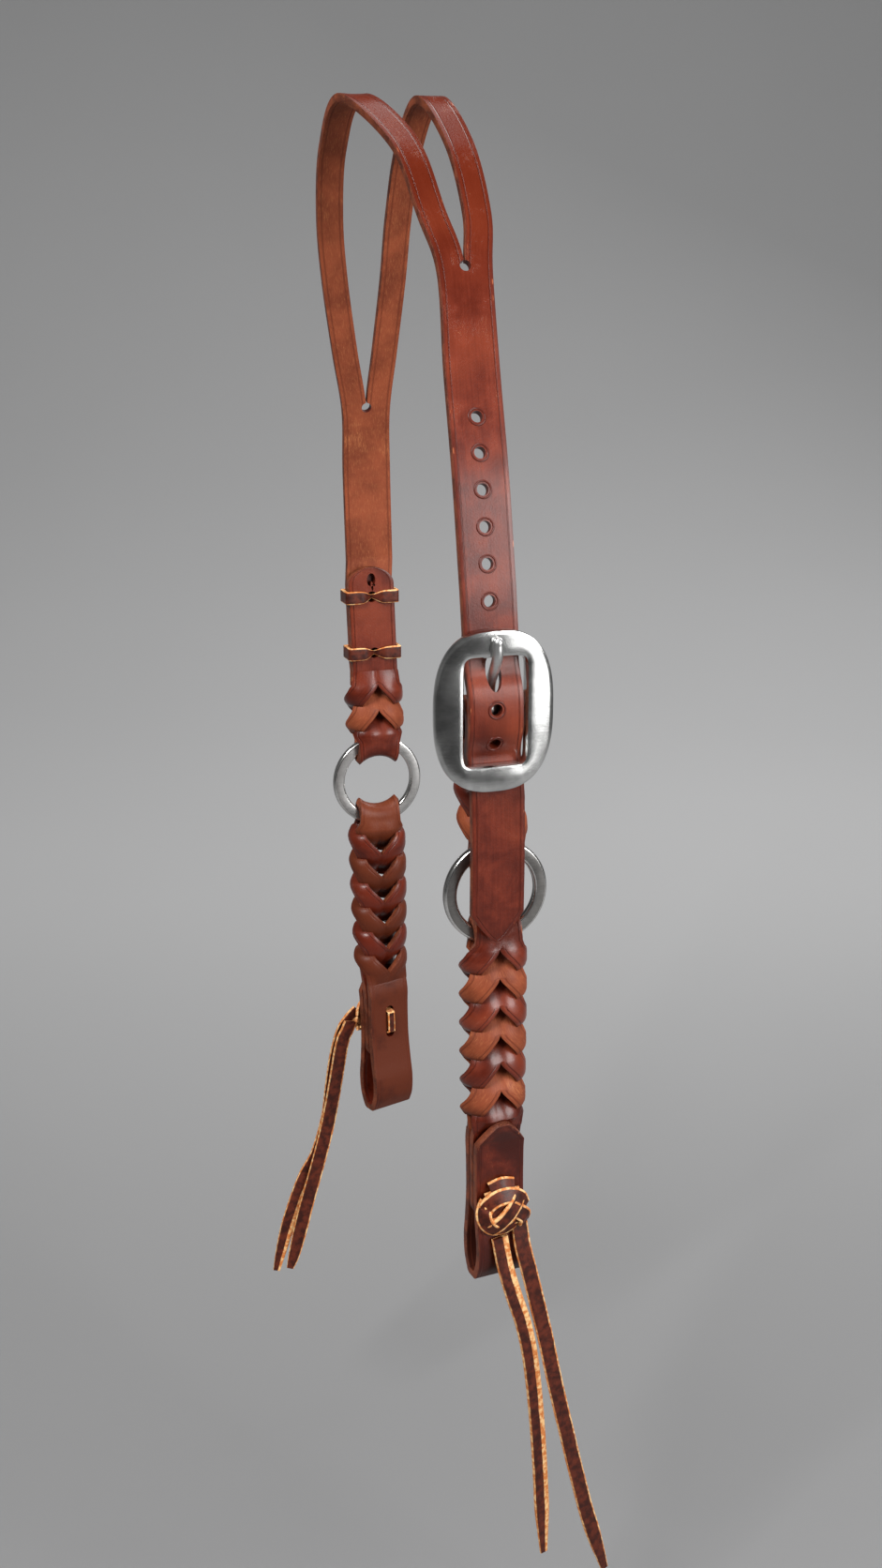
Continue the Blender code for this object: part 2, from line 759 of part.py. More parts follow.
def make_hanger(collection, cutters, material):
    """Short strap from the near ring up round the buckle's centre bar."""
    behind, bar, over = buckle_levels()
    at_bar = buckle_to_ring - ring_outer_radius
    place = cheek_place(near_ring_x, -1, True, (buckle_x - near_ring_x) / at_bar)
    wrap = bar_radius + fit_gap + leather / 2
    end = chain_end(short_crossings)

    def from_bar(rows, level):
        return [(at_bar + strap_width * along, level + leather * outwards) for along, outwards in rows]

    start_along, start_out = hanger_outer_start_shares
    fold_along, fold_level = fold_start_shares
    outer = [(end + strap_width * start_along, leather * start_out)] + from_bar(hanger_outer_shares, 0)
    outer += [(at_bar - strap_width * fold_along, bar + wrap * fold_level)]
    around = []
    for i in range(hanger_wrap_steps + 1):
        turn = math.pi * i / hanger_wrap_steps
        around.append((at_bar + wrap * math.sin(turn), bar + wrap * math.cos(turn)))
    loose = line_leg(from_bar(hanger_loose_shares, bar - wrap), 1, rounded_end=True)
    start_along, start_out = hanger_middle_start_shares
    middle = [(end + strap_width * start_along, leather * start_out)] + from_bar(hanger_middle_shares, 0)
    middle = line_leg(middle, 2, rounded_end=True)
    path = list(reversed(loose)) + [flat_section(*p) for p in reversed(outer + around)]
    path += reversed(chain_leg(False, short_crossings, 0, end + chain_joint))
    path += ring_loop()
    path += chain_leg(True, short_crossings, 0, end + chain_joint)
    path += middle
    hanger = strap_solid("near_hanger_strap", placed(path, place), leather, collection, material)
    bpy.ops.mesh.primitive_cube_add(size=1)
    slot = bpy.context.object
    slot.name = "tongue_slot"
    wide = 2 * (tongue_radius + 2 * fit_gap)
    low, high = at_bar - bar_radius - tongue_eye_wall - 2 * fit_gap, at_bar + wrap + leather
    near, far = bar - wrap - leather, bar + wrap + leather
    slot.data.transform(Matrix.Diagonal((wide, far - near, high - low, 1)))
    slot.data.transform(Matrix.Translation(place(0, (low + high) / 2, (near + far) / 2)))
    for old in list(slot.users_collection):
        old.objects.unlink(slot)
    cutters.objects.link(slot)
    cut(hanger, as_cutter(slot))
    return hanger


def make_tongue(collection, cutters, material):
    """Round tongue from the centre bar, up under the billet, out through its hole and over the frame."""
    behind, bar, over = buckle_levels()
    at_y = -cheek_half_span - bar
    eye_inner, eye_outer = bar_radius + fit_gap, bar_radius + fit_gap + tongue_eye_wall
    crest_y = -cheek_half_span - buckle_stand_off - buckle_thickness / 2 - buckle_crown
    crest_y -= fit_gap + tongue_radius
    top = -buckle_drop + (window_half_height + buckle_half_height) / 2
    half = tongue_radius * eye_width_share
    eye = cylinder("buckle_tongue", eye_outer, (buckle_x - half, at_y, -buckle_drop),
                   (buckle_x + half, at_y, -buckle_drop), collection, sides=24)
    eye.data.materials.append(material)
    wall = (eye_inner + eye_outer) / 2
    start = Vector((buckle_x, at_y - wall * math.cos(eye_turn), -buckle_drop + wall * math.sin(eye_turn)))
    under = Vector((buckle_x, at_y - tongue_under_billet, -buckle_drop + tongue_bend_height))
    edge = Vector((buckle_x, at_y - tongue_over_edge, -buckle_drop + window_half_height))
    crest = Vector((buckle_x, crest_y, top))
    tip = crest + (crest - edge).normalized() * (tongue_rest_overhang + tongue_radius)
    route = [tuple(place) for place in (start, under, edge, crest, tip)]
    shaft = tube("tongue_shaft", route, tongue_radius, cutters, radii=tongue_tip_shares, resolution=3)
    joined_with(eye, as_cutter(shaft))
    hole = cylinder("tongue_eye_bore", eye_inner, (buckle_x - 2 * tongue_radius, at_y, -buckle_drop),
                    (buckle_x + 2 * tongue_radius, at_y, -buckle_drop), cutters, sides=24)
    cut(eye, as_cutter(hole))
    return eye


def make_knot(name, ring_x, side, lean, yaw, lace_at, collection, cutters, material):
    """A lace through the bit loop's layers and tied on the outer side."""
    place = bit_loop_place(ring_x, side, lean, yaw)
    half = lace_hole_spread / 2
    low, high = knot_face(lace_at - half), knot_face(lace_at + half)
    staple = [(-half, low), (-half, -low + lace_thickness), (-half + lace_thickness / 2, -low),
              (half - lace_thickness / 2, -high), (half, -high + lace_thickness), (half, high)]
    centres = [place(0, lace_at + s, n) for s, n in staple]
    sideways = Vector(place(1, lace_at, 0)) - Vector(place(0, lace_at, 0))
    across = [(sideways, staple_width_share)] * len(staple)
    body = ribbon_solid(name, centres, across, lace_width, lace_thickness, collection, material)
    out = Vector(place(0, lace_at, 1)) - Vector(place(0, lace_at, 0))
    for label, route in knot_shares.items():
        rows = []
        for x, s, n in route:
            along = lace_at + s * knot_size
            rows.append((x * knot_size, along, knot_face(along) + n * lace_thickness))
        centres = [Vector(place(*row)) for row in through(rows, 2)]
        across = []
        for i in range(len(centres)):
            ahead = centres[min(i + 1, len(centres) - 1)] - centres[max(i - 1, 0)]
            across.append((ahead.cross(out), 1.0))
        part = ribbon_solid(f"{name}_{label}", centres, across, lace_width * knot_width_share, lace_thickness,
                            cutters, None)
        joined_with(body, as_cutter(part))
    return body


def knot_face(along):
    """How far out the middle of a lace lies that rests on the outer leg of the bit loop."""
    rows = below_chain(loop_leg_shares)
    leg = -float(np.interp(along, [row[0] for row in rows], [row[1] for row in rows]))
    return leg + leather / 2 + fit_gap + lace_thickness / 2


# Laps of the knot as shares of its size to the side and along the strap, and of a lace's thickness outwards
knot_shares = {
    "arch": [(-0.42, 0.02, 0.2), (-0.30, -0.30, 0.5), (0.05, -0.44, 0.6), (0.38, -0.26, 0.5),
             (0.44, 0.06, 0.2)],
    "left_curl": [(-0.36, -0.22, 0.2), (-0.44, 0.08, 0.6), (-0.28, 0.36, 0.5), (0.02, 0.44, 0.2)],
    "stub": [(0.16, -0.06, 0.9), (0.32, 0.10, 0.7), (0.46, 0.26, 0.2)],
    "lap": [(0.20, -0.34, 0.3), (0.06, -0.04, 1.8), (-0.14, 0.24, 1.5), (-0.22, 0.36, 0.3)],
}


def make_tail(name, routes, ring_x, side, lean, yaw, lace_at, turn, collection, material):
    """A free lace tail, flat, narrowing to its tip. It leaves its knot turned as the cheek is."""
    place = bit_loop_place(ring_x, side, lean, yaw)
    knot = Vector(place(0, lace_at, knot_face(lace_at)))
    rows = [knot + Vector((x, side * n, -down)) * tail_size for x, n, down in routes]
    line = through([tuple(row) for row in rows], 2)
    count = len(line)
    across = []
    for i in range(count):
        ahead = Vector(line[min(i + 1, count - 1)] - line[max(i - 1, 0)]).normalized()
        left = (count - 1 - i) / (count - 1)
        angle = turn + (-side * yaw - turn) * left ** 2
        flat = Vector((math.cos(angle), math.sin(angle), 0))
        flat = (flat - ahead * flat.dot(ahead)).normalized()
        share = min(1.0, tail_tip_share + tail_taper_share * left)
        across.append((flat, share))
    return ribbon_solid(name, [tuple(p) for p in line], across, lace_width, lace_thickness, collection,
                        material)


# Routes of the four lace tails from their knots to their tips: forwards or back, outwards and down
# from the middle of the knot's face, as shares of one size
near_tail_rear_shares = (
    (0.0443, 0.0032, 0.0465), (0.0505, 0.0144, 0.1080), (0.0676, 0.0218, 0.1855),
    (0.0943, 0.0239, 0.3005), (0.1147, 0.0264, 0.3930), (0.1322, 0.0274, 0.4805),
    (0.1532, 0.0264, 0.5755), (0.1747, 0.0254, 0.6680), (0.1952, 0.0229, 0.7555),
    (0.2162, 0.0204, 0.8405), (0.2377, 0.0179, 0.9255), (0.2597, 0.0154, 1.0005),
    (0.2827, 0.0134, 1.0755), (0.2997, 0.0119, 1.1330),
)
near_tail_front_shares = (
    (-0.0100, 0.0130, 0.0735), (0.0010, 0.0215, 0.1455), (0.0204, 0.0308, 0.2255),
    (0.0445, 0.0355, 0.3055), (0.0627, 0.0354, 0.3905), (0.0767, 0.0284, 0.4755),
    (0.0887, 0.0204, 0.5630), (0.0982, 0.0154, 0.6505), (0.1057, 0.0124, 0.7355),
    (0.1117, 0.0104, 0.8180), (0.1162, 0.0104, 0.8955), (0.1202, 0.0104, 0.9655),
    (0.1242, 0.0104, 1.0355),
)
far_tail_front_shares = (
    (-0.0572, 0.0047, -0.0170), (-0.0830, 0.0036, 0.0080), (-0.1044, 0.0054, 0.0430),
    (-0.1223, 0.0184, 0.1255), (-0.1329, 0.0381, 0.2355), (-0.1428, 0.0534, 0.3430),
    (-0.1768, 0.0534, 0.4555), (-0.2213, 0.0534, 0.5355), (-0.2688, 0.0534, 0.6655),
    (-0.2948, 0.0534, 0.7555), (-0.3143, 0.0534, 0.8330),
)
far_tail_rear_shares = (
    (-0.0884, -0.0232, 0.0030), (-0.0973, -0.0196, 0.0305), (-0.1122, -0.0117, 0.0755),
    (-0.1279, 0.0152, 0.2155), (-0.1448, 0.0349, 0.3405), (-0.1658, 0.0359, 0.4280),
    (-0.1918, 0.0359, 0.5205), (-0.2178, 0.0359, 0.6105), (-0.2413, 0.0359, 0.7005),
    (-0.2623, 0.0359, 0.7805), (-0.2758, 0.0359, 0.8230),
)


def main():
    clear_scene()
    parts = make_collection("western_headstall")
    cutters = make_collection("cutters")
    harness = make_material("harness_leather", leather_colour, 0.45, 0.0)
    lace = make_material("lace_leather", lace_colour, 0.5, 0.0)
    polished = make_material("polished_steel", steel_colour, 0.15, 1.0)
    satin = make_material("satin_steel", steel_colour, 0.35, 1.0)

    make_crown(parts, cutters, harness)
    make_tie("upper_tie", upper_tie_height, parts, lace)
    make_tie("lower_tie", lower_tie_height, parts, lace)
    make_buckle(parts, cutters, polished)
    make_tongue(parts, cutters, polished)
    make_hanger(parts, cutters, harness)
    make_ring("near_ring", near_ring_x, -1, parts, satin)
    make_ring("far_ring", far_ring_x, 1, parts, satin)
    near = (near_ring_x, -1, (near_lean_x, near_lean_y), near_yaw, near_lace_at)
    far = (far_ring_x, 1, (far_lean_x, far_lean_y), far_yaw, far_lace_at)
    make_cheek("near_cheek_strap", *near, parts, cutters, harness)
    make_cheek("far_cheek_strap", *far, parts, cutters, harness)
    make_knot("near_bit_lace", *near, parts, cutters, lace)
    make_knot("far_bit_lace", *far, parts, cutters, lace)
    make_tail("near_lace_tail_front", near_tail_front_shares, *near, near_tail_turn, parts, lace)
    make_tail("near_lace_tail_rear", near_tail_rear_shares, *near, near_tail_turn, parts, lace)
    make_tail("far_lace_tail_front", far_tail_front_shares, *far, far_tail_turn, parts, lace)
    make_tail("far_lace_tail_rear", far_tail_rear_shares, *far, far_tail_turn, parts, lace)


main()
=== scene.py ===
import math

import bpy
import bmesh
import numpy as np
from mathutils import Matrix, Vector


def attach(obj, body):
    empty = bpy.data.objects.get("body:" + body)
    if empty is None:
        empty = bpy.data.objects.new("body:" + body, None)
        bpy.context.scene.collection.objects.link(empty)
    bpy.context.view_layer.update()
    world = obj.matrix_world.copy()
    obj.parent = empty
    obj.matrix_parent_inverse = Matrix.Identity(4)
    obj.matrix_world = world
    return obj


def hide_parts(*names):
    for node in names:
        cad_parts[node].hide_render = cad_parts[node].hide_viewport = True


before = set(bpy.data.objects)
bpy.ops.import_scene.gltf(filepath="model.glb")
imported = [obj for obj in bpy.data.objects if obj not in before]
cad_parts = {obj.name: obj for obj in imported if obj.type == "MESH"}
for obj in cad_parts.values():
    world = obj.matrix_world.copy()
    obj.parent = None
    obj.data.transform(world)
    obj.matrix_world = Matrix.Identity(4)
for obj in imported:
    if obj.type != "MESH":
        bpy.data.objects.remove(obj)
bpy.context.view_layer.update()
print("frame:", len(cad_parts), "nodes")

# Sizes that several pieces share, in metres
hang = {
    "halfSpan": 0.0955, "ringDrop": 0.3505, "nearRingX": 0.0, "farRingX": -0.001,
    "strapWidth": 0.0254, "leather": 0.0036, "gap": 0.0004,
}


# Small helpers

def smoothBetween(a, b, c, d, t):
    # a place between b and c on the smooth line through a, b, c and d
    return 0.5 * (2 * b + (c - a) * t + (2 * a - 5 * b + 4 * c - d) * t ** 2
                  + (3 * b - a - 3 * c + d) * t ** 3)


def through(points, perSpan, closed=False):
    # a smooth line through the points
    points = np.asarray(points, float)
    count = len(points)
    made = []
    for span in range(count if closed else count - 1):
        if closed:
            a, b, c, d = (points[(span + k) % count] for k in (-1, 0, 1, 2))
        else:
            b, c = points[span], points[span + 1]
            a = points[span - 1] if span else 2 * b - c
            d = points[span + 2] if span + 2 < count else 2 * c - b
        for step in range(perSpan):
            t = step / perSpan
            made.append(smoothBetween(a, b, c, d, t))
    if not closed:
        made.append(points[-1])
    return np.array(made)


def addObject(name, data):
    made = bpy.data.objects.new(name, data)
    bpy.context.scene.collection.objects.link(made)
    return made


def addMesh(name, vertices, faces, *materials):
    mesh = bpy.data.meshes.new(name)
    mesh.from_pydata(vertices, [], faces)
    for material in materials:
        mesh.materials.append(material)
    return addObject(name, mesh)


def cleanCopy(obj):
    # the object with its modifiers applied, at the origin
    bpy.context.view_layer.update()
    graph = bpy.context.evaluated_depsgraph_get()
    mesh = bpy.data.meshes.new_from_object(obj.evaluated_get(graph))
    mesh.transform(obj.matrix_world)
    name = obj.name
    made = addObject(name, mesh)
    bpy.data.objects.remove(obj, do_unlink=True)
    made.name = name
    return made


def smoothShade(obj, angle=35):
    # smooth faces with hard edges only where the surface really turns
    mesh = obj.data
    work = bmesh.new()
    work.from_mesh(mesh)
    for face in work.faces:
        face.smooth = True
    for edge in work.edges:
        edge.smooth = not (len(edge.link_faces) == 2 and edge.calc_face_angle(0) > math.radians(angle))
    work.to_mesh(mesh)
    work.free()
    return obj


def settle(obj, body, slot, *replaced):
    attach(obj, body)
    if replaced:
        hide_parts(*replaced)


def lengthsAlong(line):
    # the running length at each point of a line
    return np.concatenate([[0], np.cumsum(np.linalg.norm(np.diff(line, axis=0), axis=1))])


# Shader helpers
class Wire:
    # one output in a node tree, so that shader sums can be written as sums
    def __init__(self, tree, socket):
        self.tree, self.socket = tree, socket

    def join(self, operation, first, second=None, third=None, clamp=False):
        node = self.tree.nodes.new("ShaderNodeMath")
        node.operation = operation
        node.use_clamp = clamp
        for place, value in enumerate((first, second, third)):
            if value is not None:
                plug(self.tree, node.inputs[place], value)
        return Wire(self.tree, node.outputs[0])

    def __add__(self, other):
        return self.join("ADD", self, other)

    def __radd__(self, other):
        return self.join("ADD", other, self)

    def __sub__(self, other):
        return self.join("SUBTRACT", self, other)

    def __rsub__(self, other):
        return self.join("SUBTRACT", other, self)

    def __mul__(self, other):
        return self.join("MULTIPLY", self, other)

    def __rmul__(self, other):
        return self.join("MULTIPLY", other, self)

    def size(self):
        return self.join("ABSOLUTE", self)

    def held(self):
        return self.join("ADD", self, 0.0, clamp=True)


def plug(tree, socket, value):
    if isinstance(value, Wire):
        tree.links.new(value.socket, socket)
    else:
        socket.default_value = value


class Look:
    # a material and the nodes that colour it
    def __init__(self, name, **constants):
        self.material = bpy.data.materials.new(name)
        self.material.use_nodes = True
        self.tree = self.material.node_tree
        self.shader = self.tree.nodes["Principled BSDF"]
        for key, value in constants.items():
            self.shader.inputs[key.replace("_", " ")].default_value = value

    def node(self, kind, settings=None, sockets=None, output=0):
        made = self.tree.nodes.new(kind)
        for key, value in (settings or {}).items():
            setattr(made, key, value)
        for key, value in (sockets or {}).items():
            plug(self.tree, made.inputs[key], value)
        return Wire(self.tree, made.outputs[output])

    def places(self, map_=None):
        # the object's own coordinates, or one of its UV maps in metres
        if map_:
            return self.node("ShaderNodeUVMap", {"uv_map": map_})
        return self.node("ShaderNodeTexCoord", output="Object")

    def stretched(self, where, scale, turn=0.0):
        return self.node("ShaderNodeMapping", {"vector_type": "POINT"},
                         {"Vector": where, "Scale": scale, "Rotation": (0, 0, turn)})

    def noise(self, where, scale, detail=3.0, rough=0.55, bend=0.0):
        return self.node("ShaderNodeTexNoise", {"noise_dimensions": "3D"},
                         {"Vector": where, "Scale": scale, "Detail": detail, "Roughness": rough,
                          "Distortion": bend}, "Fac")

    def cells(self, where, scale):
        return self.node("ShaderNodeTexVoronoi", {"feature": "F1"}, {"Vector": where, "Scale": scale},
                         "Distance")

    def step(self, value, low, high, fromHere=0.0, toHere=1.0):
        return self.node("ShaderNodeMapRange", {"interpolation_type": "SMOOTHSTEP"},
                         {"Value": value, "From Min": low, "From Max": high,
                          "To Min": fromHere, "To Max": toHere})

    def mix(self, amount, first, second):
        made = self.tree.nodes.new("ShaderNodeMix")
        made.data_type = "RGBA"
        plug(self.tree, made.inputs[0], amount)
        for place, value in ((6, first), (7, second)):
            plug(self.tree, made.inputs[place], value if isinstance(value, Wire) else (*value, 1.0))
        return Wire(self.tree, made.outputs[2])

    def part(self, vector, axis):
        return self.node("ShaderNodeSeparateXYZ", None, {0: vector}, "XYZ".index(axis))

    def bump(self, height, distance, strength=1.0):
        normal = self.node("ShaderNodeBump", None,
                           {"Height": height, "Distance": distance, "Strength": strength})
        self.tree.links.new(normal.socket, self.shader.inputs["Normal"])

    def give(self, name, value):
        plug(self.tree, self.shader.inputs[name], value)


def hexTone(text):
    # a screen colour as linear light
    made = []
    for i in (0, 2, 4):
        v = int(text[i:i + 2], 16) / 255
        made.append(v / 12.92 if v <= 0.04045 else ((v + 0.055) / 1.055) ** 2.4)
    return tuple(made)


def grainLeather(name, tones, crease=True, gloss=0.34, coat=0.24, dark=None, top=None, calm=0.0):
    # oiled grain side: mottled, pebbled, creased near its edges and darker at them, with worn spots and pale
    # painted glints.
    # dark and top are height ranges over which it deepens, the deepening at the top being painted shade, and
    # calm evens its clouds.
    look = Look(name, Coat_Weight=coat, Coat_Roughness=0.25, Specular_IOR_Level=0.20)
    where = look.places("strap")
    edge = look.part(look.places("edge"), "X")
    mottle = look.noise(where, 55.0, 5.0, 0.62, 0.4)
    cloud = look.noise(where, 14.0, 3.0, 0.5)
    streak = look.noise(look.stretched(where, (900.0, 26.0, 1.0)), 1.0, 4.0, 0.7)
    pebble = look.cells(where, 1250.0)
    pore = look.noise(where, 2900.0, 2.0, 0.6)
    fine = look.noise(look.stretched(where, (2100.0, 130.0, 1.0), 0.35), 1.0, 2.0, 0.5, 0.3)
    scratch = look.step((fine - 0.5).size(), 0.0, 0.012, 1.0, 0.0) * look.step(mottle, 0.52, 0.66)
    creaseLine = look.step((edge - 0.0021).size(), 0.00010, 0.00045, 1.0, 0.0) if crease else 0.0
    lip = look.step(edge, 0.0002, 0.0013, 1.0, 0.0)
    tone = look.mix(look.step(mottle * 0.7 + streak * 0.3, 0.36, 0.66), tones["deep"], tones["base"])
    tone = look.mix(look.step(cloud, 0.46, 0.72, 0.0, 0.8), tone, tones["warm"])
    tone = look.mix(look.step(pore, 0.60, 0.74, 0.0, 0.30), tone, tones["pale"])
    if dark:
        height = look.part(look.places(), "Z")
        shade = look.mix(look.step(mottle, 0.38 - calm, 0.64 - calm), tones["night"], tones["dusk"])
        tone = look.mix(look.step(height + (mottle - 0.5) * 0.02, dark[1], dark[0], 1.0, 0.0), tone, shade)
    # painted shade: towards the top the grain deepens to a darker tone and gets less coat
    if top:
        height = look.part(look.places(), "Z")
        topShadeMask = look.step(height + (mottle - 0.5) * 0.03, top[0], top[1])
        tone = look.mix(topShadeMask * 0.80, tone, tones["paintedTopShade"])
        look.give("Coat Weight", (topShadeMask * -0.16 + coat).held())
    tone = look.mix(look.step(lip * (0.75 + mottle * 0.5), 0.30, 1.0, 0.0, 0.60), tone, tones["deep"])
    wear = look.step(look.cells(look.stretched(where, (420.0, 90.0, 1.0)), 1.0), 0.10, 0.16, 1.0, 0.0)
    tone = look.mix((scratch * 0.55 + wear * lip * 0.8).held(), tone, tones["worn"])
    if crease:
        dashes = look.step(look.noise(look.stretched(where, (60.0, 520.0, 1.0)), 1.0, 2.0), 0.42, 0.60)
        tone = look.mix(creaseLine * (0.45 + 0.4 * dashes), tone, tones["deep"])
    # painted glints: small pale specks in the colour stand in for highlights
    fleck = look.step(look.cells(where, 210.0), 0.0, 0.055, 1.0, 0.0) * look.step(cloud, 0.5, 0.62)
    tone = look.mix(fleck * 0.6, tone, tones["paintedGlint"])
    look.give("Base Color", tone)
    rough = gloss + mottle * 0.14 + streak * 0.10 + lip * 0.10 - 0.10
    if top:
        rough = rough - topShadeMask * 0.10
    look.give("Roughness", rough.held())
    height = pebble * 0.30 + pore * 0.25 + streak * 0.30 - scratch * 0.5
    if crease:
        height = height - creaseLine * 3.0
    look.bump(height, 0.00015, 0.75)
    return look.material


def fleshLeather(name, tones, gloss=0.46, dark=None, calm=0.0):
    # the burnished underside, with short fibres along the strap and darker handling marks
    look = Look(name, Specular_IOR_Level=0.16, Coat_Weight=0.05, Coat_Roughness=0.30)
    where = look.places("strap")
    edge = look.part(look.places("edge"), "X")
    fibre = look.noise(look.stretched(where, (2300.0, 300.0, 1.0)), 1.0, 4.0, 0.7, 0.5)
    hatch = look.cells(look.stretched(where, (1500.0, 900.0, 1.0), 0.8), 1.0)
    blotch = look.noise(where, 48.0, 4.0, 0.55, 0.2)
    tone = look.mix(look.step(blotch, 0.30, 0.74, 0.0, 0.75), tones["flesh"], tones["fleshDeep"])
    tone = look.mix(look.step(fibre, 0.48, 0.72, 0.0, 0.40), tone, tones["fleshPale"])
    scuff = look.step(look.noise(where, 26.0, 5.0, 0.75, 0.6), 0.56, 0.68) * look.step(fibre, 0.38, 0.62)
    tone = look.mix(scuff * 0.55, tone, tones["fleshPale"])
    if dark:
        height = look.part(look.places(), "Z")
        shade = look.mix(look.step(blotch, 0.38 - calm, 0.64 - calm), tones["fleshNight"], tones["fleshDusk"])
        tone = look.mix(look.step(height + (blotch - 0.5) * 0.02, dark[1], dark[0], 1.0, 0.0), tone, shade)
    line = look.step((edge - 0.0019).size(), 0.00015, 0.00060, 1.0, 0.0)
    tone = look.mix(line * 0.55, tone, tones["fleshDeep"])
    look.give("Base Color", tone)
    look.give("Roughness", (gloss + fibre * 0.18 + blotch * 0.08).held())
    look.bump(fibre * 0.8 + hatch * 0.5 - line * 1.2, 0.00016, 0.7)
    return look.material


def cutEdge(name, tones):
    # the burnished cut edge, fibres pressed in thin lines along it
    look = Look(name, Specular_IOR_Level=0.4)
    where = look.places()
    lines = look.noise(where, 1500.0, 3.0, 0.65)
    blotch = look.noise(where, 130.0, 4.0, 0.6)
    tone = look.mix(look.step(blotch, 0.36, 0.64), tones["edgeDeep"], tones["edge"])
    tone = look.mix(look.step(lines, 0.50, 0.70, 0.0, 0.5), tone, tones["edgePale"])
    look.give("Base Color", tone)
    look.give("Roughness", (0.40 + lines * 0.3).held())
    look.bump(lines, 0.00015, 0.7)
    return look.material


def steel(name, tone, rough, brushed, nicks):
    # worn steel: smeared polish, hairlines and a few nicks
    look = Look(name, Metallic=1.0)
    where = look.places()
    smear = look.noise(where, 65.0, 4.0, 0.55, 0.6)
    hair = look.noise(look.stretched(where, (180.0, 180.0, 2600.0)), 1.0, 3.0, 0.7)
    fleck = look.noise(where, 1300.0, 2.0, 0.7)
    pale = tuple(min(1.0, c * 1.12) for c in tone)
    dull = tuple(c * 0.72 for c in tone)
    look.give("Base Color", look.mix(look.step(smear * 0.7 + hair * 0.3, 0.36, 0.66), dull, pale))
    marks = look.step(fleck, 0.62, 0.75, 0.0, nicks)
    look.give("Roughness", (rough + smear * 0.12 + hair * brushed + marks).held())
    look.bump(hair * brushed * 2.0 + fleck * nicks * 1.5 + smear * 0.2, 0.00010, 0.6)
    return look.material


leatherTones = {name: hexTone(text) for name, text in {
    "deep": "481408", "base": "6b2817", "warm": "853a22", "pale": "9c5238", "worn": "a9603c",
    "paintedGlint": "d9a27a", "night": "360b03", "dusk": "591c0d", "paintedTopShade": "561a07",
    "flesh": "884329", "fleshDeep": "582414", "fleshPale": "ad6a42", "fleshNight": "3a150c",
    "fleshDusk": "562514", "edge": "73361e", "edgeDeep": "451b0e", "edgePale": "9c5c38",
}.items()}


# Camera, floor and light
cameraLook = {
    "distance": 0.8723, "sideways": 0.00497, "height": -0.0612,
    "azimuth": -18.43, "pitchDown": 16.87, "lens": 40.91, "sensor": 36.0, "nearest": 0.02,
}
# Places on the stage are away from the camera, to its right and up. Lights end with power and size,
# cards with width and height.
studio = {
    "floorHeight": -0.80, "floorTone": (0.398, 0.398, 0.40), "floorReach": 4.0, "frontShade": 0.50,
    "floorOutline": ((-2.6, 0.0), (-1.0, 0.0), (0.5, 0.0), (1.1, 0.05), (1.7, 0.22), (2.3, 0.62), (2.7, 1.3),
                     (2.9, 2.3), (3.0, 3.6)),
    "worldTone": (0.62, 0.62, 0.62), "worldStrength": 0.20, "cardTone": (0.05, 0.05, 0.05),
    "cards": {"frontCard": (-1.5, 0.55, -0.50, 1.3, 0.60), "leftCard": (-1.1, -1.5, -0.10, 0.9, 1.4)},
    "lights": {"keyLight": (-1.2, -0.8, 1.0, 42.0, 0.6), "fillLight": (-0.9, 1.2, 0.15, 26.0, 0.8),
               "rimLight": (1.1, 0.9, 0.9, 16.0, 0.8), "sideLight": (-0.85, 0.95, -0.40, 1.3, 0.35),
               "topLight": (0.0, 0.0, 1.5, 14.0, 1.0)},
    "target": (0, 0, -0.33),
}
turnOfSight = math.radians(cameraLook["azimuth"])
ahead = Vector((-math.sin(turnOfSight), math.cos(turnOfSight), 0))
right = Vector((math.cos(turnOfSight), math.sin(turnOfSight), 0))


def makeCamera(look):
    data = bpy.data.cameras.new("camera")
    data.sensor_fit = "VERTICAL"
    data.sensor_height = look["sensor"]
    data.lens = look["lens"]
    data.clip_start = look["nearest"]
    made = addObject("camera", data)
    made.location = -ahead * look["distance"] + right * look["sideways"] + Vector((0, 0, look["height"]))
    pitch = math.radians(look["pitchDown"])
    sight = ahead * math.cos(pitch) - Vector((0, 0, math.sin(pitch)))
    made.rotation_euler = sight.to_track_quat("-Z", "Y").to_euler()
    bpy.context.scene.camera = made


def makeFloor(look):
    # a floor that rises into a wall behind, as one smooth sweep
    outline = through(look["floorOutline"], 6)
    paper = Look("palePaper", Specular_IOR_Level=0.1)
    where = paper.places()
    tone = look["floorTone"]
    away = paper.part(where, "X") * ahead.x + paper.part(where, "Y") * ahead.y
    plain = paper.mix(paper.noise(where, 3.0, 2.0), tone, tuple(c * 1.04 for c in tone))
    # painted shade: the floor is darker near the camera and lightens away from it
    front = tuple(c * look["frontShade"] for c in tone)
    paper.give("Base Color", paper.mix(paper.step(away, 0.0, 1.35), front, plain))
    paper.give("Roughness", (0.85 + paper.noise(where, 40.0) * 0.1).held())
    vertices = [tuple(ahead * away + right * side + Vector((0, 0, look["floorHeight"] + up)))
                for away, up in outline for side in (-look["floorReach"], look["floorReach"])]
    faces = [(2 * i, 2 * i + 1, 2 * i + 3, 2 * i + 2) for i in range(len(outline) - 1)]
    floor = addMesh("floorSweep", vertices, faces, paper.material)
    smoothShade(floor, 60)


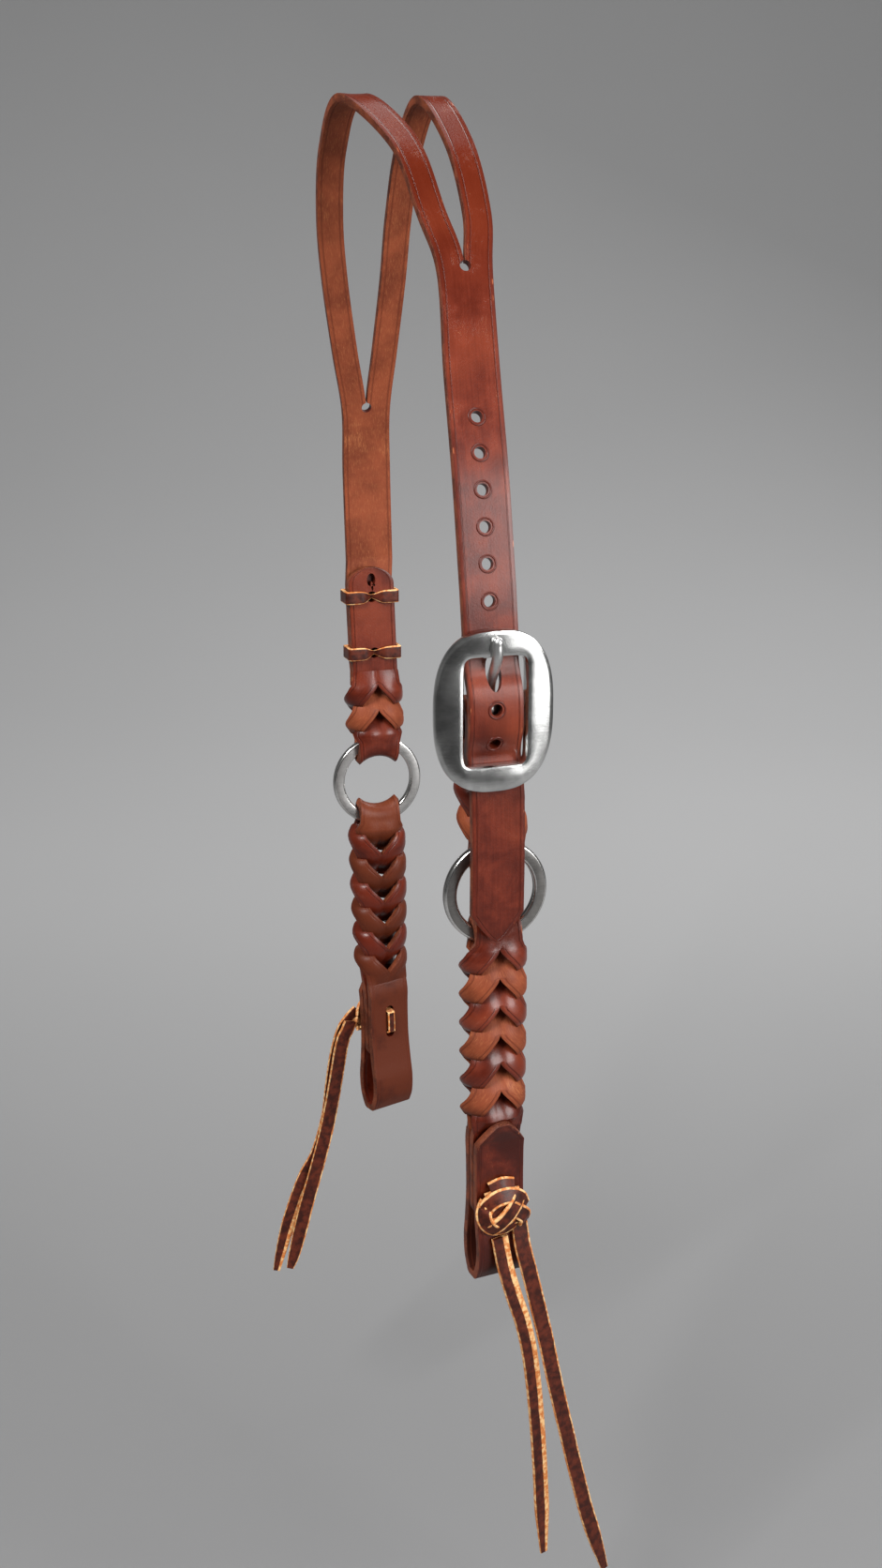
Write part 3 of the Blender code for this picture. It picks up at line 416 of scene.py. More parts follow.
def makeCards(look):
    # dark sheets beside the camera, which only the steel reflects
    card = Look("darkCard", Specular_IOR_Level=0.0)
    card.give("Base Color", (*look["cardTone"], 1.0))
    for name, (away, side, up, wide, tall) in look["cards"].items():
        middle = ahead * away + right * side + Vector((0, 0, up))
        across = Vector((-middle.y, middle.x, 0)).normalized() * wide / 2
        rise = Vector((0, 0, tall / 2))
        corners = [tuple(middle + across * i + rise * j) for i, j in ((-1, -1), (1, -1), (1, 1), (-1, 1))]
        made = addMesh(name, corners, [(0, 1, 2, 3)], card.material)
        made.visible_camera = False


def makeLights(look):
    world = bpy.data.worlds.new("studio")
    bpy.context.scene.world = world
    world.use_nodes = True
    world.node_tree.nodes["Background"].inputs["Color"].default_value = (*look["worldTone"], 1)
    world.node_tree.nodes["Background"].inputs["Strength"].default_value = look["worldStrength"]
    target = Vector(look["target"])
    for name, (away, side, up, power, size) in look["lights"].items():
        data = bpy.data.lights.new(name, "AREA")
        data.energy = power
        data.size = size
        made = addObject(name, data)
        made.location = ahead * away + right * side + Vector((0, 0, up))
        made.rotation_euler = (target - made.location).to_track_quat("-Z", "Y").to_euler()
    bpy.context.scene.view_settings.view_transform = "Standard"


makeCamera(cameraLook)
makeFloor(studio)
makeCards(studio)
makeLights(studio)
print("stage: camera, floor, cards and lights")


# Straps: each is an open sheet through sections, which is then given its thickness. A section is a row of
# places across the strap and says whether its two halves are one piece there.
ringLook = {"radius": 0.0254, "band": 0.0062, "thick": 0.004, "chamfer": 0.0011, "slack": 0.001}
foldLook = {"width": 0.9, "bulge": 1.12, "leadIn": 0.25, "leadRise": 0.25}
chainLook = {
    "pitch": 0.0145, "first": 0.0092, "long": 6, "short": 2, "stepsPerPitch": 14, "joinedFrom": 0.56,
    "bulge": 0.6,
}
strapLook = {
    "bevel": 0.00075, "roundTip": 0.009, "roundEnd": 0.26, "pointedTip": 0.0115, "pointedEnd": 0.20,
    "pointedPower": 0.80, "tipSteps": (1.0, 0.8, 0.62, 0.46, 0.32, 0.2, 0.11, 0.045, 0.0),
}
pointsPerHalf = 7
halfShares = [k / (pointsPerHalf - 1) for k in range(pointsPerHalf)]
acrossShares = [-share for share in reversed(halfShares)] + halfShares
# Once round a slit leg, from one crossing to the next but one: place in crossings, then slit edge and outer
# edge in shares of half the width, both again outwards in shares of the leather's thickness, and both again
# along the strap in shares of the pitch
slitShares = (
    (-1.00, 0.00, 0.72, 0.10, -0.50, 0.00, 0.00),
    (-0.75, 0.00, 0.90, 1.00, 0.20, -0.02, 0.00),
    (-0.50, 0.00, 1.03, 1.60, 0.50, -0.02, 0.02),
    (-0.25, 0.40, 1.13, 1.90, 0.10, 0.15, 0.02),
    (0.00, 0.66, 1.17, 1.40, -1.20, 0.21, 0.10),
    (0.25, 0.52, 1.00, -0.50, -2.00, 0.08, 0.10),
    (0.50, 0.08, 0.90, -1.40, -1.90, -0.04, 0.06),
    (0.75, 0.00, 0.80, -1.10, -1.40, 0.00, 0.00),
)


def readTable(rows, at):
    # the table's smooth values at a place, which starts again every two crossings
    keys = np.array([row[1:] for row in rows])
    count = len(rows)
    place = ((at + 1) % 2) / 2 * count
    i = int(place)
    t = place - i
    a, b, c, d = (keys[(i + k) % count] for k in (-1, 0, 1, 2))
    return smoothBetween(a, b, c, d, t)


def section(along, inner, outer, joined, bulge=0.0, slant=(0.0, 0.0)):
    # across one half from the slit edge to the outer edge, and its mirror image
    (xi, ni), (xo, no) = inner, outer
    reach = math.hypot(xo - xi, no - ni) or 1.0
    half = []
    for t in halfShares:
        lift = bulge * 4 * t * (1 - t)
        half.append((xi + (xo - xi) * t - lift * (no - ni) / reach,
                     along + slant[0] + (slant[1] - slant[0]) * t,
                     ni + (no - ni) * t + lift * (xo - xi) / reach))
    return {"points": [(-x, s, n) for x, s, n in reversed(half)] + half, "joined": joined}


def flatSection(along, outwards, share=1.0, cup=0.0):
    half = hang["strapWidth"] / 2 * share
    made = section(along, (0.0, outwards), (half, outwards - cup), True, cup / 4)
    made["share"] = share
    return made


def chainLeg(innerLeg, crossings, first, last, turned=False):
    # one leg of a chain: where it is slit, its halves stand up and twist round the other leg
    made = []
    bulge = hang["leather"] * chainLook["bulge"] * (-1 if turned else 1)
    steps = chainLook["stepsPerPitch"]
    pitch, start = chainLook["pitch"], chainLook["first"]
    half, thick = hang["strapWidth"] / 2, hang["leather"]
    for i in range(crossings * steps + 1):
        along = start - pitch / 2 + i * pitch / steps
        if not first <= along <= last:
            continue
        turn = (along - start) / pitch - (1 if innerLeg else 0)
        xi, xo, ni, no, si, so = readTable(slitShares, -turn if turned else turn)
        if turned:
            ni, no, si, so = -ni, -no, -si, -so
        nearest = round(turn / 2) * 2 + (1 if innerLeg else 0)
        inSlit = ((turn + 1) % 2) - 1
        joined = not 0 <= nearest <= crossings - 1 or abs(inSlit) >= chainLook["joinedFrom"]
        edge = (0.0 if joined else max(xi * half, thick / 20), ni * thick)
        slant = (0.0 if joined else si * pitch, so * pitch)
        made.append(section(along, edge, (xo * half, no * thick), joined, bulge, slant))
    return made


def chainEnd(crossings):
    return chainLook["first"] + (crossings - 0.5) * chainLook["pitch"]


def ringLoop(steps=14):
    # the fold round a ring, narrowed and curved to the ring's inside
    radius = ringLook["thick"] / 2 + ringLook["slack"] + hang["leather"] / 2
    top = -ringLook["band"] - ringLook["slack"] - hang["leather"] / 2
    centre = top + radius
    inside = ringLook["radius"] + top
    half = hang["strapWidth"] / 2 * foldLook["width"]
    leadIn, leadRise = foldLook["leadIn"] * centre, foldLook["leadRise"]
    stations = [(leadIn, radius, leadRise)]
    for i in range(steps + 1):
        turn = math.pi * i / steps
        stations.append((centre - foldLook["bulge"] * radius * math.sin(turn), radius * math.cos(turn),
                         0.5 + 0.5 * math.sin(turn)))
    stations.append((leadIn, -radius, leadRise))
    made = []
    for along, outwards, rise in stations:
        points = []
        for share in acrossShares:
            x = share * half
            lift = inside - math.sqrt(inside ** 2 - x ** 2)
            points.append((x, along - rise * lift, outwards))
        made.append({"points": points, "joined": True})
    return made


def lineLeg(places, perSpan, rounded=False, pointed=False):
    # a plain leg through places along and outwards, with a square, round or house-shaped end
    line = through(places, perSpan)
    line[:, 0] = np.minimum(line[:, 0], max(place[0] for place in places))
    if not rounded:
        return [flatSection(*place) for place in line]
    tip = line[-1]
    back = (line[-4] - tip) / np.linalg.norm(line[-4] - tip)
    reach = strapLook["pointedTip" if pointed else "roundTip"]
    made = [flatSection(*place) for place in line if np.linalg.norm(place - tip) > reach]
    narrow, power = strapLook["pointedEnd"], strapLook["pointedPower"]
    for share in strapLook["tipSteps"]:
        if pointed:
            wide = narrow + (1 - narrow) * share ** power
        else:
            wide = max(strapLook["roundEnd"], math.sqrt(1 - (1 - share) ** 2))
        made.append(flatSection(*(tip + back * reach * share), share=wide))
    return made


def cheekPlace(ringX, side, upwards, leanX=0.0, leanOut=0.0, yaw=0.0, yawFrom=0.0, yawTo=1.0):
    # a strap's own places, across, along from the ring and outwards, as places in the frame
    def place(x, along, outwards):
        t = min(max((along - yawFrom) / (yawTo - yawFrom), 0.0), 1.0)
        turn = yaw * t * t * (3 - 2 * t)
        x, outwards = (x * math.cos(turn) + outwards * math.sin(turn),
                       outwards * math.cos(turn) - x * math.sin(turn))
        clear = max(along, 0.0)
        z = -hang["ringDrop"] + (1 if upwards else -1) * (ringLook["radius"] + along)
        y = side * (hang["halfSpan"] + outwards + leanOut * clear)
        return (ringX + x + leanX * clear, y, z)
    return place


def placed(sections, place):
    return [dict(s, points=[place(*p) for p in s["points"]]) for s in sections]


def middleLine(sections):
    k = pointsPerHalf
    return np.array([(np.array(s["points"][k - 1]) + np.array(s["points"][k])) / 2 for s in sections])


def buildStrap(name, sections, materials):
    # the strap as a thick sheet, with maps in metres: across and along, and the distance from an edge
    half = hang["strapWidth"] / 2
    k = pointsPerHalf
    vertices, faces, rows, marks = [], [], [], []
    for s, length in zip(sections, lengthsAlong(middleLine(sections))):
        row = []
        share = s.get("share", 1.0)
        for i, point in enumerate(s["points"]):
            if i == k and s["joined"]:
                row.append(row[k - 1])
                continue
            row.append(len(vertices))
            vertices.append(tuple(point))
            u = (i - (k - 1)) / (k - 1) if i < k else (i - k) / (k - 1)
            u = u * half * share
            fromOuter = half * share - abs(u)
            fromSlit = abs(u) if not s["joined"] else half
            marks.append((u, length, min(fromOuter, fromSlit)))
        rows.append(row)
    for low, high in zip(rows, rows[1:]):
        for i in [j for j in range(2 * k - 1) if j != k - 1]:
            faces.append((low[i], low[i + 1], high[i + 1], high[i]))
    made = addMesh(name, vertices, faces, *materials)
    mesh = made.data
    strapMap = mesh.uv_layers.new(name="strap")
    edgeMap = mesh.uv_layers.new(name="edge")
    for loop in mesh.loops:
        u, v, edge = marks[loop.vertex_index]
        strapMap.data[loop.index].uv = (u, v)
        edgeMap.data[loop.index].uv = (edge, 0.0)
    shell = made.modifiers.new("thickness", "SOLIDIFY")
    shell.thickness = hang["leather"]
    shell.offset = 0.0
    shell.use_quality_normals = True
    shell.use_even_offset = False
    shell.material_offset = 1
    shell.material_offset_rim = 2
    soft = made.modifiers.new("rounded", "BEVEL")
    soft.width = strapLook["bevel"]
    soft.segments = 2
    soft.limit_method = "ANGLE"
    soft.angle_limit = math.radians(60)
    soft.material = 2
    return made


def pierced(strap, cutter):
    # the strap without what the cutter takes, as a plain mesh
    hole = strap.modifiers.new("cut", "BOOLEAN")
    hole.operation = "DIFFERENCE"
    hole.solver = "MANIFOLD"
    hole.object = cutter
    made = cleanCopy(strap)
    bpy.data.objects.remove(cutter, do_unlink=True)
    return smoothShade(made, 40)


def drill(name, holes):
    # every hole of a strap as one cutter: place, direction, radius, stretch and its direction
    work = bmesh.new()
    for place, way, radius, stretch, stretchWay in holes:
        axis = Vector(way).normalized()
        side = Vector(stretchWay)
        side = (side - side.dot(axis) * axis).normalized()
        turn = Matrix((side, axis.cross(side), axis)).transposed().to_4x4()
        matrix = Matrix.Translation(Vector(place)) @ turn @ Matrix.Diagonal((stretch, 1, 1, 1))
        bmesh.ops.create_cone(work, cap_ends=True, segments=28, radius1=radius, radius2=radius,
                              depth=hang["leather"] * 6, matrix=matrix)
    mesh = bpy.data.meshes.new(name)
    work.to_mesh(mesh)
    work.free()
    return addObject(name, mesh)


def atLength(line, length):
    # the place and the direction at a length along a line
    ends = lengthsAlong(line)
    steps = np.linalg.norm(np.diff(line, axis=0), axis=1)
    i = int(np.clip(np.searchsorted(ends, length) - 1, 0, len(steps) - 1))
    t = (length - ends[i]) / steps[i]
    return line[i] + (line[i + 1] - line[i]) * t, (line[i + 1] - line[i]) / steps[i]


class Rule:
    # a Geometry Nodes tree with named inputs, on an object through one modifier
    def __init__(self, name, **inputs):
        self.tree = bpy.data.node_groups.new(name, "GeometryNodeTree")
        face = self.tree.interface
        face.new_socket("Geometry", in_out="INPUT", socket_type="NodeSocketGeometry")
        self.inputs = {}
        for label, kind in inputs.items():
            socket = face.new_socket(label, in_out="INPUT", socket_type="NodeSocket" + kind)
            self.inputs[label] = socket.identifier
        face.new_socket("Geometry", in_out="OUTPUT", socket_type="NodeSocketGeometry")
        self.given = self.tree.nodes.new("NodeGroupInput").outputs

    def put(self, kind, settings=None, sockets=None):
        node = self.tree.nodes.new(kind)
        for key, value in (settings or {}).items():
            setattr(node, key, value)
        for key, value in (sockets or {}).items():
            if isinstance(value, bpy.types.NodeSocket):
                self.tree.links.new(value, node.inputs[key])
            else:
                node.inputs[key].default_value = value
        return node.outputs

    def named(self, name, kind="FLOAT"):
        return self.put("GeometryNodeInputNamedAttribute", {"data_type": kind}, {"Name": name})[0]

    def store(self, geometry, name, value):
        return self.put("GeometryNodeStoreNamedAttribute", {"data_type": "FLOAT", "domain": "POINT"},
                        {"Geometry": geometry, "Name": name, "Value": value})[0]

    def close(self, geometry):
        real = self.put("GeometryNodeRealizeInstances", None, {"Geometry": geometry})
        painted = self.put("GeometryNodeSetMaterial", None,
                           {"Geometry": real[0], "Material": self.given["Material"]})
        self.tree.links.new(painted[0], self.tree.nodes.new("NodeGroupOutput").inputs[0])

    def applied(self, obj, **values):
        modifier = obj.modifiers.new("rule", "NODES")
        modifier.node_group = self.tree
        for label, value in values.items():
            modifier[self.inputs[label]] = value
        return cleanCopy(obj)


def rimRule():
    # one pressed rim at every point, lying in the face that the point's facing gives
    rule = Rule("holeRimRule", Radius="Float", Height="Float", Material="Material")
    circle = "GeometryNodeCurvePrimitiveCircle"
    path = rule.put(circle, None, {"Resolution": 28, "Radius": rule.given["Radius"]})
    wall = rule.put(circle, None, {"Resolution": 10, "Radius": rule.given["Height"]})
    rim = rule.put("GeometryNodeCurveToMesh", None, {"Curve": path[0], "Profile Curve": wall[0]})
    turn = rule.put("FunctionNodeAlignRotationToVector", {"axis": "Z"},
                    {"Vector": rule.named("facing", "FLOAT_VECTOR")})
    copies = rule.put("GeometryNodeInstanceOnPoints", None,
                      {"Points": rule.given["Geometry"], "Instance": rim[0], "Rotation": turn[0]})
    rule.close(copies[0])
    return rule


def holeRims(name, spots, material, look):
    made = addMesh(name, [tuple(place) for place, _ in spots], [])
    facing = made.data.attributes.new("facing", "FLOAT_VECTOR", "POINT")
    for i, (_, way) in enumerate(spots):
        facing.data[i].vector = way
    return rimRule().applied(made, Radius=look["rimRadius"], Height=look["rimHeight"], Material=material)


def sweepRule():
    # a flat lace swept along lines whose points say which way its flat face looks, and how wide it is
    rule = Rule("flatLaceRule", Width="Float", Thickness="Float", Rounding="Float", Material="Material")
    given = rule.given
    lines = rule.put("GeometryNodeMeshToCurve", None, {"Mesh": given["Geometry"]})
    turned = rule.put("GeometryNodeSetCurveNormal", {"mode": "FREE"},
                      {"Curve": lines[0], "Normal": rule.named("facing", "FLOAT_VECTOR")})
    outline = rule.put("GeometryNodeCurvePrimitiveQuadrilateral", {"mode": "RECTANGLE"},
                       {"Width": given["Thickness"], "Height": given["Width"]})
    eased = rule.put("GeometryNodeFilletCurve", {"mode": "POLY"},
                     {"Curve": outline[0], "Count": 3, "Radius": given["Rounding"]})
    finer = rule.put("GeometryNodeSubdivideCurve", None, {"Curve": eased[0], "Cuts": 3})
    split = rule.put("ShaderNodeSeparateXYZ", None, {0: rule.put("GeometryNodeInputPosition")[0]})
    across = rule.put("ShaderNodeMath", {"operation": "DIVIDE"}, {0: split["Y"], 1: given["Width"]})
    depth = rule.put("ShaderNodeMath", {"operation": "DIVIDE"}, {0: split["X"], 1: given["Thickness"]})
    marked = rule.store(rule.store(finer[0], "acrossLace", across[0]), "throughLace", depth[0])
    swept = rule.put("GeometryNodeCurveToMesh", None,
                     {"Curve": turned[0], "Profile Curve": marked, "Scale": rule.named("share"),
                      "Fill Caps": True})
    rule.close(swept[0])
    return rule


laceRule = sweepRule()


def lace(name, runs, width, thick, material, perSpan=6, rounding=0.32):
    # runs: routes of (place, facing, width share), each smoothed; facing is where the flat face looks
    vertices, edges, facings, shares = [], [], [], []
    for run in runs:
        closed = run.get("closed", False)
        table = np.array([tuple(p) + tuple(f) + (s,) for p, f, s in run["points"]])
        line = through(table, perSpan, closed)
        start = len(vertices)
        for row in line:
            vertices.append(tuple(row[:3]))
            facings.append(Vector(row[3:6]).normalized())
            shares.append(row[6])
        count = len(line)
        edges += [(start + i, start + i + 1) for i in range(count - 1)]
        if closed:
            edges.append((start + count - 1, start))
    mesh = bpy.data.meshes.new(name)
    mesh.from_pydata(vertices, edges, [])
    facing = mesh.attributes.new("facing", "FLOAT_VECTOR", "POINT")
    facing.data.foreach_set("vector", np.array(facings).ravel())
    share = mesh.attributes.new("share", "FLOAT", "POINT")
    share.data.foreach_set("value", shares)
    made = laceRule.applied(addObject(name, mesh), Width=width, Thickness=thick,
                            Rounding=thick * rounding, Material=material)
    return smoothShade(made, 50)


laceTones = {name: hexTone(text) for name, text in {
    "deep": "31110a", "base": "562213", "pale": "7a4634", "raw": "c4743a", "rawPale": "eabd84",
    "flesh": "84492a", "fleshPale": "b27c4e",
}.items()}


def laceLeather(name, grainSide=1.0, rim=0.37, weakRim=0.6, rimSide=1.0):
    # dark grain on the face, flesh behind, and raw cream and orange along the cut edges: rim is where that
    # starts on the stronger side, in shares of the width, and weakRim how much of it the other side has
    look = Look(name, Coat_Weight=0.10, Coat_Roughness=0.26, Specular_IOR_Level=0.20)
    where = look.places()
    across = look.node("ShaderNodeAttribute", {"attribute_name": "acrossLace"}, output="Fac") * rimSide
    depth = look.node("ShaderNodeAttribute", {"attribute_name": "throughLace"}, output="Fac") * grainSide
    wander = look.noise(where, 160.0, 3.0) - 0.5
    mottle = look.noise(where, 260.0, 4.0, 0.6)
    fine = look.noise(where, 2300.0, 2.0, 0.6)
    tone = look.mix(look.step(mottle, 0.36, 0.66), laceTones["deep"], laceTones["base"])
    tone = look.mix(look.step(fine, 0.60, 0.74, 0.0, 0.18), tone, laceTones["pale"])
    fringe = look.step(look.noise(where, 420.0, 3.0), 0.40, 0.64)
    edgeTone = look.mix(fringe, laceTones["raw"], laceTones["rawPale"])
    inner = look.mix(look.step(mottle, 0.36, 0.66), laceTones["flesh"], laceTones["fleshPale"])
    strong = look.step(across + wander * 0.12, rim, rim + 0.055)
    weakFrom = rim if weakRim == 1.0 else 0.42
    weak = look.step(-1.0 * across + wander * 0.12, weakFrom, weakFrom + 0.055)
    rims = (strong + weak * weakRim).held()
    behind = look.step(depth, -0.16, -0.36)
    side = look.step(depth.size(), 0.40, 0.46, 1.0, 0.0) * look.step(across.size(), 0.44, 0.48)
    tone = look.mix(rims * 0.9, tone, edgeTone)
    tone = look.mix(behind, tone, inner)
    tone = look.mix(side, tone, edgeTone)
    look.give("Base Color", tone)
    look.give("Roughness", (0.36 + mottle * 0.2 + rims * 0.18 + behind * 0.25).held())
    look.bump(fine * 0.5 + mottle * 0.4, 0.00014, 0.8)
    return look.material


# Finishes: grain side, flesh side and cut edge of each strap, and the laces
# the crown's top range paints shade over the top of the arch
grain = grainLeather("crownGrain", leatherTones, dark=(-0.26, -0.50), top=(-0.15, -0.02))
rawEdge = cutEdge("harnessEdge", leatherTones)
strapFinish = (grain, fleshLeather("crownFlesh", leatherTones), rawEdge)
nearFinish = (grainLeather("nearGrain", leatherTones, coat=0.30, dark=(-0.445, -0.475), calm=-0.03),
              fleshLeather("nearFlesh", leatherTones, dark=(-0.47, -0.49)), rawEdge)
farFinish = (grainLeather("farGrain", leatherTones, dark=(-0.30, -0.46), calm=0.16),
             fleshLeather("farFlesh", leatherTones, gloss=0.30, dark=(-0.30, -0.42), calm=0.18), rawEdge)
tailFinish = {
    "nearTailRear": laceLeather("nearRearTailLeather", weakRim=0.25, rimSide=-1.0),
    "nearTailFront": laceLeather("nearFrontTailLeather", rim=0.12, weakRim=0.4, rimSide=-1.0),
    "farTailFront": laceLeather("farFrontTailLeather", -1.0, rim=0.14, weakRim=0.3),
    "farTailRear": laceLeather("farRearTailLeather", -1.0, weakRim=0.3),
}
knotFinish = laceLeather("knotLeather", rim=0.33, weakRim=1.0)
tieFinish = laceLeather("tieLeather", rim=0.40, weakRim=1.0)
print("materials: leather")


# Crown strap, from the billet's tip to the far tab
crownLook = {
    "tipX": -0.0028, "topX": -0.0073, "billetDrop": 0.371, "billetTip": 0.014, "tipLean": 0.0002,
    "holes": 10, "holeRadius": 0.0027, "holePitch": 0.0161, "rimRadius": 0.0038, "rimHeight": 0.0005,
    "rimSunk": 0.0001, "tongueHole": 7, "slotLength": 0.0175, "slotRadius": 0.0036, "slotAboveBar": 0.0165,
    "slitFrom": 3, "slitTo": 11, "slitEndRadius": 0.0026, "slitEndInset": 0.0016,
    "layer": 0.0021, "tabFrom": 0.0865, "tabEnd": 0.0965, "upperTie": 0.0804, "lowerTie": 0.049,
    "tieHoleRadius": 0.003, "tabHole": 0.0897, "tabHoleRadius": 0.0024, "tabSlit": 0.0862, "tabSlitX": 0.0004,
    "tabSlitRadius": 0.0006, "tabSlitLong": 4.2, "tabSlitLean": -0.12, "tabHoleLong": 1.5, "tabCut": -0.0112,
    "farLeanX": -0.045, "farLeanOut": -0.03, "tipWide": 0.10, "tipPower": 0.75,
}
buckleLook = {
    "x": -0.0069, "drop": 0.2594, "standOff": 0.0148, "halfWidth": 0.0282, "halfHeight": 0.0369,
    "windowWidth": 0.0147, "windowHeight": 0.0246, "thick": 0.0036, "crown": 0.0003, "bow": 0.0014,
    "barRadius": 0.0026, "barBack": 0.0062, "windowPower": 12.0, "framePower": 2.6,
}


def buckleLevels():
    # how far out the billet lies below the frame, the bar's middle, and the billet where it crosses the bar
    b, thick, gap = buckleLook, hang["leather"], hang["gap"]
    behind = b["standOff"] - b["thick"] / 2 - gap - thick / 2
    bar = b["standOff"] - b["barBack"]
    over = bar + b["barRadius"] + thick + 2 * gap + thick / 2
    return behind, bar, over


# Round the buckle: height in shares of the frame's half height, how far out, and how far sideways
billetRise = (
    (-1.05, 0.00, 0.17), (-0.64, 0.00, 0.55), (-0.46, 0.30, 0.74), (-0.24, 0.86, 0.86), (0.00, 1.00, 0.90),
    (0.24, 0.86, 0.93), (0.44, 0.34, 0.96), (0.62, 0.03, 0.98), (1.00, -0.10, 1.00),
)


def billetSections():
    behind, bar, over = buckleLevels()
    drop, tip, low = crownLook["billetDrop"], crownLook["billetTip"], -buckleLook["drop"]
    height, tipX, topX = buckleLook["halfHeight"], crownLook["tipX"], crownLook["topX"]
    lean, wide = crownLook["tipLean"], crownLook["tipWide"]
    rows = [(behind - 4 * lean, -drop, tipX), (behind - 3 * lean, -drop + tip, tipX),
            (behind - 2 * lean, (low - height - drop + tip) / 2, tipX)]
    for share, level, sideways in billetRise:
        rows.append((behind + (over - behind) * level, low + height * share, tipX + (topX - tipX) * sideways))
    line = through(rows, 8)
    made = []
    half = hang["strapWidth"] / 2
    for outwards, z, x in line[:-1]:
        back = (z + drop) / tip
        share = 1.0 if back >= 1 else wide + (1 - wide) * back ** crownLook["tipPower"]
        y = -hang["halfSpan"] - outwards
        points = [(x + half * share * s, y, z) for s in acrossShares]
        made.append({"points": points, "joined": True, "share": share})
    return made


# Over the poll: out in shares of the half span, up in shares of the ring drop, then the middles of the front
# and the rear half, in shares of the width
archShares = (
    (-1.085, -0.589, -0.30, -0.30), (-0.955, -0.4505, -0.276, -0.276), (-0.760, -0.328, -0.185, -0.185),
    (-0.560, -0.208, -0.06, -0.06), (-0.430, -0.138, -0.26, 0.08), (-0.250, -0.050, -0.56, -0.03),
    (0.000, 0.0051, -1.23, -0.28), (0.260, -0.052, -1.32, -0.36), (0.450, -0.140, -1.21, -0.35),
    (0.600, -0.225, -0.98, -0.30), (0.745, -0.325, -0.65, -0.32), (0.860, -0.412, -0.35, -0.35),
    (0.945, -0.505, -0.26, -0.26), (1.012, -0.645, -0.15, -0.15),
)
archSteps = 14


def archSections():
    width = hang["strapWidth"]
    rows = [(y * hang["halfSpan"], z * hang["ringDrop"], f * width - width / 4, r * width + width / 4)
            for y, z, f, r in archShares]
    line = through(rows, archSteps)
    made = []
    for i, (y, z, front, rear) in enumerate(line):
        ahead = line[min(i + 1, len(line) - 1)] - line[max(i - 1, 0)]
        joined = not crownLook["slitFrom"] * archSteps < i < crownLook["slitTo"] * archSteps
        points = []
        for middle, slope in ((front, ahead[2]), (rear, ahead[3])):
            along = Vector((slope, ahead[0], ahead[1])).normalized()
            across = (Vector((1, 0, 0)) - along * along.x).normalized() * width / 4
            centre = Vector((middle, y, z))
            points += [tuple(centre + across * (2 * share - 1)) for share in halfShares]
        made.append({"points": points, "joined": joined})
    return made


farUpper = cheekPlace(hang["farRingX"], 1, True, crownLook["farLeanX"], crownLook["farLeanOut"])


def crownSections():
    layer, upper, lower = crownLook["layer"], crownLook["upperTie"], crownLook["lowerTie"]
    chainTop = chainEnd(chainLook["short"])
    above = chainLook["first"] + chainLook["short"] * chainLook["pitch"]
    legs = lineLeg([(crownLook["tabFrom"], layer), (above, layer)], 12)
    legs += reversed(chainLeg(False, chainLook["short"], 0, chainTop, True))
    legs += ringLoop()
    legs += chainLeg(True, chainLook["short"], 0, chainTop, True)
    legs += lineLeg([(s, -layer) for s in (above, lower, upper, crownLook["tabEnd"])], 10, True)
    return billetSections() + archSections() + placed(legs, farUpper)


def makeCrown(look):
    strap = buildStrap("crownStrap", crownSections(), strapFinish)
    arch = archSections()
    line = middleLine(billetSections() + arch[:look["slitFrom"] * archSteps])
    tongueZ = -buckleLook["drop"] + look["slotAboveBar"]
    tongueAt = float(np.interp(tongueZ, line[:, 2], lengthsAlong(line)))
    holes, spots = [], []
    for i in range(look["holes"]):
        step = i - (look["holes"] - 1 - look["tongueHole"])
        place, along = atLength(line, tongueAt + step * look["holePitch"])
        out = Vector((1, 0, 0)).cross(Vector(along)).normalized()
        if out.y > 0:
            out = -out
        if step == 0:
            holes.append((place, out, look["slotRadius"], look["slotLength"] / 2 / look["slotRadius"], along))
        else:
            holes.append((place, out, look["holeRadius"], 1.0, along))
            spots.append((Vector(place) + out * (hang["leather"] / 2 - look["rimSunk"]), out))
    full = middleLine(arch)
    for row, inset in ((look["slitFrom"], look["slitEndInset"]), (look["slitTo"], -look["slitEndInset"])):
        place, along = atLength(full, lengthsAlong(full)[row * archSteps] + inset)
        out = Vector((1, 0, 0)).cross(Vector(along)).normalized()
        holes.append((place, out, look["slitEndRadius"], 1.0, along))
    for height in (look["upperTie"], look["lowerTie"]):
        holes.append((farUpper(0, height, 0), (0, 1, 0), look["tieHoleRadius"], 1.0, (0, 0, 1)))
    tabHole = farUpper(0, look["tabHole"], look["tabCut"])
    holes.append((tabHole, (0, 1, 0), look["tabHoleRadius"], look["tabHoleLong"], (0, 0, 1)))
    tabSlit = farUpper(look["tabSlitX"], look["tabSlit"], look["tabCut"])
    slitWay = (look["tabSlitLean"], 0, 1)
    holes.append((tabSlit, (0, 1, 0), look["tabSlitRadius"], look["tabSlitLong"], slitWay))
    return pierced(strap, drill("crownHoles", holes)), spots


crown, crownSpots = makeCrown(crownLook)
settle(crown, "crown", "harness_leather", "crown_strap")
settle(smoothShade(holeRims("crownHoleRims", crownSpots, grain, crownLook), 60), "crown", "harness_leather")
print("crown strap:", len(crown.data.polygons), "faces")


# Cheek straps
cheekLook = {
    "end": 0.1752, "nearLaceAt": 0.136, "farLaceAt": 0.120, "laceHoleReach": 0.007, "laceHoleRadius": 0.0028,
    "seam": 0.0001, "nearLeanX": 0.006, "nearLeanOut": 0.01, "nearYaw": 6, "farLeanX": 0.018,
    "farLeanOut": -0.02, "farYaw": -17, "yawFrom": 0.02, "yawTo": 0.09,
}
